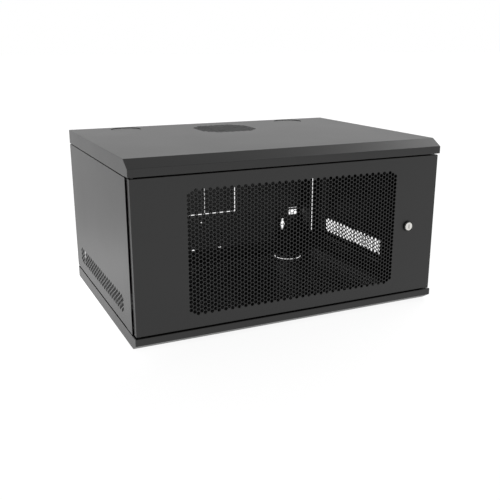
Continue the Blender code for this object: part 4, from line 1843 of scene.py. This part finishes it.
def hexagon_ring(axis: Axis, height: float, flats: float, bore: float) -> Skin:
    """A hexagon ring with chamfered corners and a countersunk bore.

    Args:
        axis: From one face to the other.
        height: Between the faces.
        flats: Half of the width across the flats.
        bore: The bore's radius.

    Returns:
        The closed skin.
    """
    corner, sink = flats * 2 / sqrt(3), min(0.0004, height / 6)
    slant = (corner - flats * 0.97) * 0.55
    section = [(bore + sink, 0.0), (flats * 0.97, 0.0), (corner, slant),
               (corner, height - slant), (flats * 0.97, height), (bore + sink, height),
               (bore, height - sink), (bore, sink)]
    return Skin.joined([turned(section, axis, 48, loop=True, flats=flats)])


@dataclass
class Door:
    """The perforated door with its hinge brackets and sprung pins."""

    shop: Paintshop
    field_centre: Pair = (0.0008, 0.1569)
    pitch: float = 0.00728
    hole: float = 0.0033
    columns: int = 65
    column_holes: int = 30
    lock_clearance: float = 0.0091
    lock_hole_sides: int = 40
    pin_clearance: float = 0.0028
    pin_hole_sides: int = 20
    pin_radius: float = 0.0025
    pin_hold: float = 0.0019
    pin_bend: float = 0.0045
    bracket_rounding: float = 0.0003

    def build(self) -> None:
        """Make the door's sheet, its hinge brackets and its pins."""
        self._panel()
        for level in Level:
            self.shop.keep(f"hinge_bracket_{level.word}", FRAME_PAINT, self.bracket_rounding)
            self._pin(level)

    def _field(self) -> list[Array]:
        """The hole field.

        Columns stand at the pitch times half the root of three. Every other one, the first
        and last among them, has one hole more, and the end columns lose a hole at each
        corner.

        Returns:
            The holes' outlines.
        """
        half = self.columns // 2
        columns = np.arange(-half, half + 1)
        counts = self.column_holes - (columns % 2 != 0) - 2 * (np.abs(columns) == half)
        centres = staggered(columns, counts, self.pitch * sqrt(3) / 2, self.pitch)
        return punched(centres + np.array(self.field_centre), self.hole, PERFORATION_SIDES)

    def _panel(self) -> None:
        """The door's folded sheet."""
        box = Extent.of("door_panel")
        plane = Plane((0.0, box.low[1], 0.0), (1.0, 0.0, 0.0), (0.0, 0.0, 1.0),
                      (0.0, -1.0, 0.0))
        lock = lock_axis()
        pin_x, pin_y = hinge_axis()
        back = pin_y - box.low[1]
        middle = box.middle[0]
        edges = {number: [ring((along, back), self.pin_clearance, self.pin_hole_sides)]
                 for number, along in ((1, middle - pin_x), (3, pin_x - middle))}
        pan = Pan(plane, (box.low[0], box.low[2]), (box.high[0], box.high[2]),
                  box.high[1] - box.low[1],
                  [ring((lock[0], lock[2]), self.lock_clearance, self.lock_hole_sides),
                   *self._field()], edges)
        self.shop.piece("door_shell", pan.skin().thickened(SHEET), CASING_PAINT, Slot.CASING,
                        Body.DOOR, "door_panel")

    def _pin(self, level: Level) -> None:
        """A hinge pin: one rod, rounded at its tip and bent over into a finger hold.

        The rod follows a straight line, a quarter circle and a straight line, and its
        radius shrinks to nothing at both ends as a quarter circle does.

        Args:
            level: The lower or the upper one.
        """
        node = f"hinge_pin_{level.word}"
        box = Extent.of(node)
        up = float(level.value)
        x, y = hinge_axis()
        tip, tail = (box.high[2], box.low[2]) if up > 0 else (box.low[2], box.high[2])
        radius, hold, bend = self.pin_radius, self.pin_hold, self.pin_bend
        line_z = tail + up * hold
        reach = box.high[0] - x
        t = np.linspace(0, pi / 2, 10)
        straight = np.linspace(tip, line_z + up * bend, 12)
        down = np.column_stack([np.zeros(12), straight])
        curve = np.column_stack([bend * (1 - np.cos(t)), line_z + up * bend * (1 - np.sin(t))])
        over = np.column_stack([np.linspace(bend, reach, 8), np.full(8, line_z)])
        line = np.concatenate([down, curve[1:], over[1:]])
        start, end = line[0], line[-1]
        nose = np.sin(np.linspace(0, pi / 2, 7))
        cap = 1 - np.cos(np.linspace(0, pi / 2, 7))
        tip_part = start + cap[:, None] * radius * np.array((0.0, -up))
        end_part = end - cap[::-1, None] * hold * np.array((1.0, 0.0))
        body = line[2:-2]
        line = np.concatenate([tip_part, body, end_part])
        radii = np.concatenate([radius * nose,
                                np.interp(np.arange(len(body)), [10, 18], [radius, hold]),
                                hold * nose[::-1]])
        path = np.column_stack([x + line[:, 0], np.full(len(line), y), line[:, 1]])
        rod = Skin.joined([tube(path, radii, 24)])
        self.shop.piece(f"{node}_rod", rod.closed(), FRAME_PAINT, Slot.FRAME,
                        Body(f"{level.word}_pin"), node)


@dataclass
class CamLock:
    """The lock in the door: bezel and barrel, plated plug, nut, cam and screw."""

    shop: Paintshop
    bezel: float = 0.0100
    plug: float = 0.0078
    barrel: float = 0.0088
    seat: float = 0.0016
    bore: float = 0.0065
    play: float = 0.0003
    thread_depth: float = 0.00035
    thread_ends: int = 31
    plug_shank: float = 0.0062
    plug_edge: float = 0.0006
    plug_tail: Pair = (0.0035, 0.0024)
    key_slot: Pair = (0.0007, 0.0040)
    key_depth: float = 0.006
    cam_hole: float = 0.0038
    cam_corner: float = 0.003
    cross: Pair = (0.0005, 0.0021)
    cross_depth: float = 0.0016
    turned_sides: int = 64
    screw_sides: int = 48

    def build(self) -> None:
        """Make every piece of the lock."""
        self._barrel()
        self._plug()
        self._nut()
        self._cam()
        self._screw()

    def _axis(self, front: float) -> Axis:
        """The lock's axis from a given Y."""
        place = lock_axis()
        return Axis((place[0], front, place[2]), (0.0, 1.0, 0.0))

    def _barrel(self) -> None:
        """The bezel and the threaded barrel behind it, bored through."""
        box = Extent.of("lock_barrel")
        door = Extent.of("door_panel")
        length = box.high[1] - box.low[1]
        flange = door.low[1] - self.play - box.low[1]
        front = eased([(self.plug + self.play, self.seat), (self.plug + self.play, 0.0),
                       (self.bezel, 0.0), (self.bezel, flange)],
                      {1: 0.0003, 2: 0.0012, 3: 0.0003}, 4)
        ridges = np.linspace(flange + 0.0018, length - 0.0008, self.thread_ends)
        depth = np.where(np.arange(self.thread_ends) % 2, 0.0, self.thread_depth)
        thread = list(zip(self.barrel - depth, ridges))
        back = [(self.barrel * 0.93, length), (self.bore, length), (self.bore, self.seat)]
        section = [*front, (self.barrel, flange), *thread, *back]
        skin = Skin.joined([turned(section, self._axis(box.low[1]), self.turned_sides,
                                   loop=True)])
        self.shop.piece("lock_bezel", skin.closed(), LOCK_LACQUER, Slot.LOCK, Body.DOOR,
                        "lock_barrel")

    def _plug(self) -> None:
        """The plated plug with its key slot sunk in the face."""
        box = Extent.of("lock_plug")
        place = lock_axis()
        front = box.low[1]
        length = box.high[1] - front
        edge, shank, sides = self.plug_edge, self.plug_shank, self.turned_sides
        tail, step = self.plug_tail
        face_edge = self.plug - edge
        plane = Plane((place[0], front, place[2]), (1.0, 0.0, 0.0), (0.0, 0.0, 1.0),
                      (0.0, -1.0, 0.0))
        wide, tall = self.key_slot
        recess = rounded((-wide, -tall), (wide, tall), 0.0003, 2)
        section = [*[(face_edge + edge * sin(t), edge * (1 - cos(t)))
                     for t in np.linspace(0, pi / 2, 4)],
                   (self.plug, 2 * edge), (shank, 2 * edge), (shank, length - step),
                   (tail, length - step), (tail, length - 0.0003),
                   (tail - 0.0003, length), (0.0, length)]
        axis = Axis((place[0], front, place[2]), (0.0, 1.0, 0.0))
        _, _, first, _ = axis.frame()
        turn = atan2(first[2], first[0])
        skins = [turned(section, axis, sides),
                 *recessed_face(plane, face_edge, sides, recess, self.key_depth, turn)]
        nickel = TurnedPlating("nickel_plating", tuple(place), (0.70, 0.69, 0.66), 0.24)
        self.shop.piece("lock_key_plug", Skin.joined(skins).closed(), nickel, Slot.NICKEL,
                        Body.LOCK_CORE, "lock_plug")

    def _nut(self) -> None:
        """The large thin nut behind the door's sheet."""
        box = Extent.of("lock_nut")
        flats = (box.high[2] - box.low[2]) / 2
        flats = min(flats, (box.high[0] - box.low[0]) / 2)
        skin = hexagon_ring(self._axis(box.low[1]), box.high[1] - box.low[1], flats,
                            self.barrel + self.play)
        self.shop.piece("lock_back_nut", skin.closed(), ZINC, Slot.ZINC, Body.DOOR, "lock_nut")

    def _cam(self) -> None:
        """The cam: a flat finger with a round end about the plug and a rounded tip."""
        box = Extent.of("lock_cam")
        place = lock_axis()
        half = (box.high[0] - box.low[0]) / 2
        top = arc((place[0], place[2]), half, 0.0, pi, 20)
        corner = self.cam_corner
        tips = [arc((place[0] + side.value * (half - corner), box.low[2] + corner), corner,
                    start, start + pi / 2, 5) for side, start in zip(Side, (pi, 1.5 * pi))]
        outline = np.concatenate([top, *tips])
        plane = Plane((0.0, box.low[1], 0.0), (1.0, 0.0, 0.0), (0.0, 0.0, 1.0),
                      (0.0, -1.0, 0.0))
        hole = ring((place[0], place[2]), self.cam_hole, BORE_SIDES)
        skin = Skin.joined([filled([outline, hole], plane)])
        self.shop.piece("lock_cam_finger", skin.thickened(box.high[1] - box.low[1]), ZINC,
                        Slot.ZINC, Body.LOCK_CORE, "lock_cam")

    def _screw(self) -> None:
        """The cam's screw: a low domed head with a cross recess, and its shank."""
        box = Extent.of("cam_screw")
        place = lock_axis()
        back = box.high[1]
        length = back - box.low[1]
        radius = (box.high[0] - box.low[0]) / 2
        wide, long = self.cross
        recess = np.array([(wide, wide), (wide, long), (-wide, long), (-wide, wide),
                           (-long, wide), (-long, -wide), (-wide, -wide), (-wide, -long),
                           (wide, -long), (wide, -wide), (long, -wide), (long, wide)])
        flat = radius * 0.62
        dome = [(flat + (radius - flat) * sin(t), 0.0012 * (1 - cos(t)))
                for t in np.linspace(0, pi / 2, 6)]
        section = [*dome, (radius, 0.003), (0.002, 0.003), (0.002, length - 0.0006),
                   (0.0014, length), (0.0, length)]
        axis = Axis((place[0], back, place[2]), (0.0, -1.0, 0.0))
        _, _, first, _ = axis.frame()
        plane = Plane((place[0], back, place[2]), (1.0, 0.0, 0.0), (0.0, 0.0, 1.0),
                      (0.0, 1.0, 0.0))
        turn = atan2(first[2], first[0])
        skins = [turned(section, axis, self.screw_sides),
                 *recessed_face(plane, flat, self.screw_sides, recess, self.cross_depth, turn)]
        self.shop.piece("cam_screw_head", Skin.joined(skins).closed(), ZINC, Slot.ZINC,
                        Body.LOCK_CORE, "cam_screw")


# ---- the studio ----------------------------------------------------------------------


@dataclass(frozen=True)
class Softbox:
    """A square soft light that faces the cabinet.

    Attributes:
        name: The light's name.
        direction: From the cabinet towards the light.
        distance: How far away it stands.
        size: Its side.
        radiance: How bright its face looks, where the white surroundings are 1.
    """

    name: str
    direction: Triple
    distance: float
    size: float
    radiance: float

    def build(self, target: Array) -> None:
        """Hang the light. Its power is pi times its area times its radiance.

        Args:
            target: The point that it faces.
        """
        data = bpy.data.lights.new(self.name, "AREA")
        data.shape = "SQUARE"
        data.size = self.size
        data.energy = pi * self.size ** 2 * self.radiance
        light = bpy.data.objects.new(self.name, data)
        towards = unit(np.array(self.direction))
        light.location = target + self.distance * towards
        light.rotation_euler = Vector(-towards).to_track_quat("-Z", "Y").to_euler()
        bpy.context.scene.collection.objects.link(light)


@dataclass
class Studio:
    """The white surroundings, the pale floor, the lights and the camera."""

    shop: Paintshop
    horizon: float = 1.0
    overhead: float = 0.55
    fade_from: float = 0.35
    floor_half: float = 30.0
    floor: StudioFloor = StudioFloor("pale_floor", 0.91, 1.7, (-0.6, 0.2, 0.0), 0.6)
    lights: tuple[Softbox, ...] = (
        Softbox("high_right_softbox", (0.88, 0.20, 0.62), 2.6, 1.2, 3.0),
    )
    camera_place: Triple = (-0.575, -1.2531, 0.4883)
    camera_turn: float = 0.4365
    camera_tilt: float = 0.2873
    lens: float = 50.23
    sensor: float = 36.0

    def build(self) -> None:
        """Set up everything round the cabinet."""
        low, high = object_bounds()
        target = np.array((low + high) / 2)
        bpy.context.scene.view_settings.view_transform = "Standard"
        self._surroundings()
        self._floor(low[2])
        for light in self.lights:
            light.build(target)
        self._camera()
        LOG.info("studio: floor, %d light(s) and camera", len(self.lights))

    def _surroundings(self) -> None:
        """White surroundings: full strength to the sides, fading smoothly to overhead."""
        world = bpy.data.worlds.new("white_surroundings")
        sky = NodeTree(world)
        look = sky.node("ShaderNodeTexCoord", {}, {})
        split = sky.node("ShaderNodeSeparateXYZ", {}, {"Vector": look.outputs["Generated"]})
        fade = sky.node("ShaderNodeMapRange", {"interpolation_type": "SMOOTHSTEP"}, {
            "Value": split.outputs["Z"], "From Min": self.fade_from, "From Max": 1.0,
            "To Min": self.horizon, "To Max": self.overhead})
        background = sky.node("ShaderNodeBackground", {}, {
            "Color": grey(1.0), "Strength": fade.outputs["Result"]})
        sky.node("ShaderNodeOutputWorld", {}, {"Surface": background.outputs["Background"]})
        bpy.context.scene.world = world

    def _floor(self, height: float) -> None:
        """A wide pale floor just under the cabinet.

        Args:
            height: The cabinet's underside.
        """
        mesh = bpy.data.meshes.new("floor")
        corners = rectangle((-self.floor_half, -self.floor_half),
                            (self.floor_half, self.floor_half))
        mesh.from_pydata(np.column_stack([corners, np.full(4, height - FLOOR_GAP)]).tolist(),
                         [], [(0, 1, 2, 3)])
        floor = bpy.data.objects.new("floor", mesh)
        bpy.context.scene.collection.objects.link(floor)
        self.shop.dress(floor, self.floor)
        floor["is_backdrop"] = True

    def _camera(self) -> None:
        """The camera: turned to the right of +Y, tilted down, level."""
        data = bpy.data.cameras.new("camera")
        data.lens, data.sensor_width = self.lens, self.sensor
        camera = bpy.data.objects.new("camera", data)
        camera.location = self.camera_place
        camera.rotation_euler = (pi / 2 - self.camera_tilt, 0.0, -self.camera_turn)
        bpy.context.scene.collection.objects.link(camera)
        bpy.context.scene.camera = camera


def main() -> None:
    """Build the looks."""
    logging.basicConfig(level=logging.INFO, format="%(name)s: %(message)s")
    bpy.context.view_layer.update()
    shop = Paintshop()
    for assembly in (Studio(shop), Casing(shop), Rear(shop), RackFrame(shop), Door(shop),
                     CamLock(shop)):
        LOG.info("building %s", type(assembly).__name__)
        assembly.build()


if __name__ == "__main__":
    main()
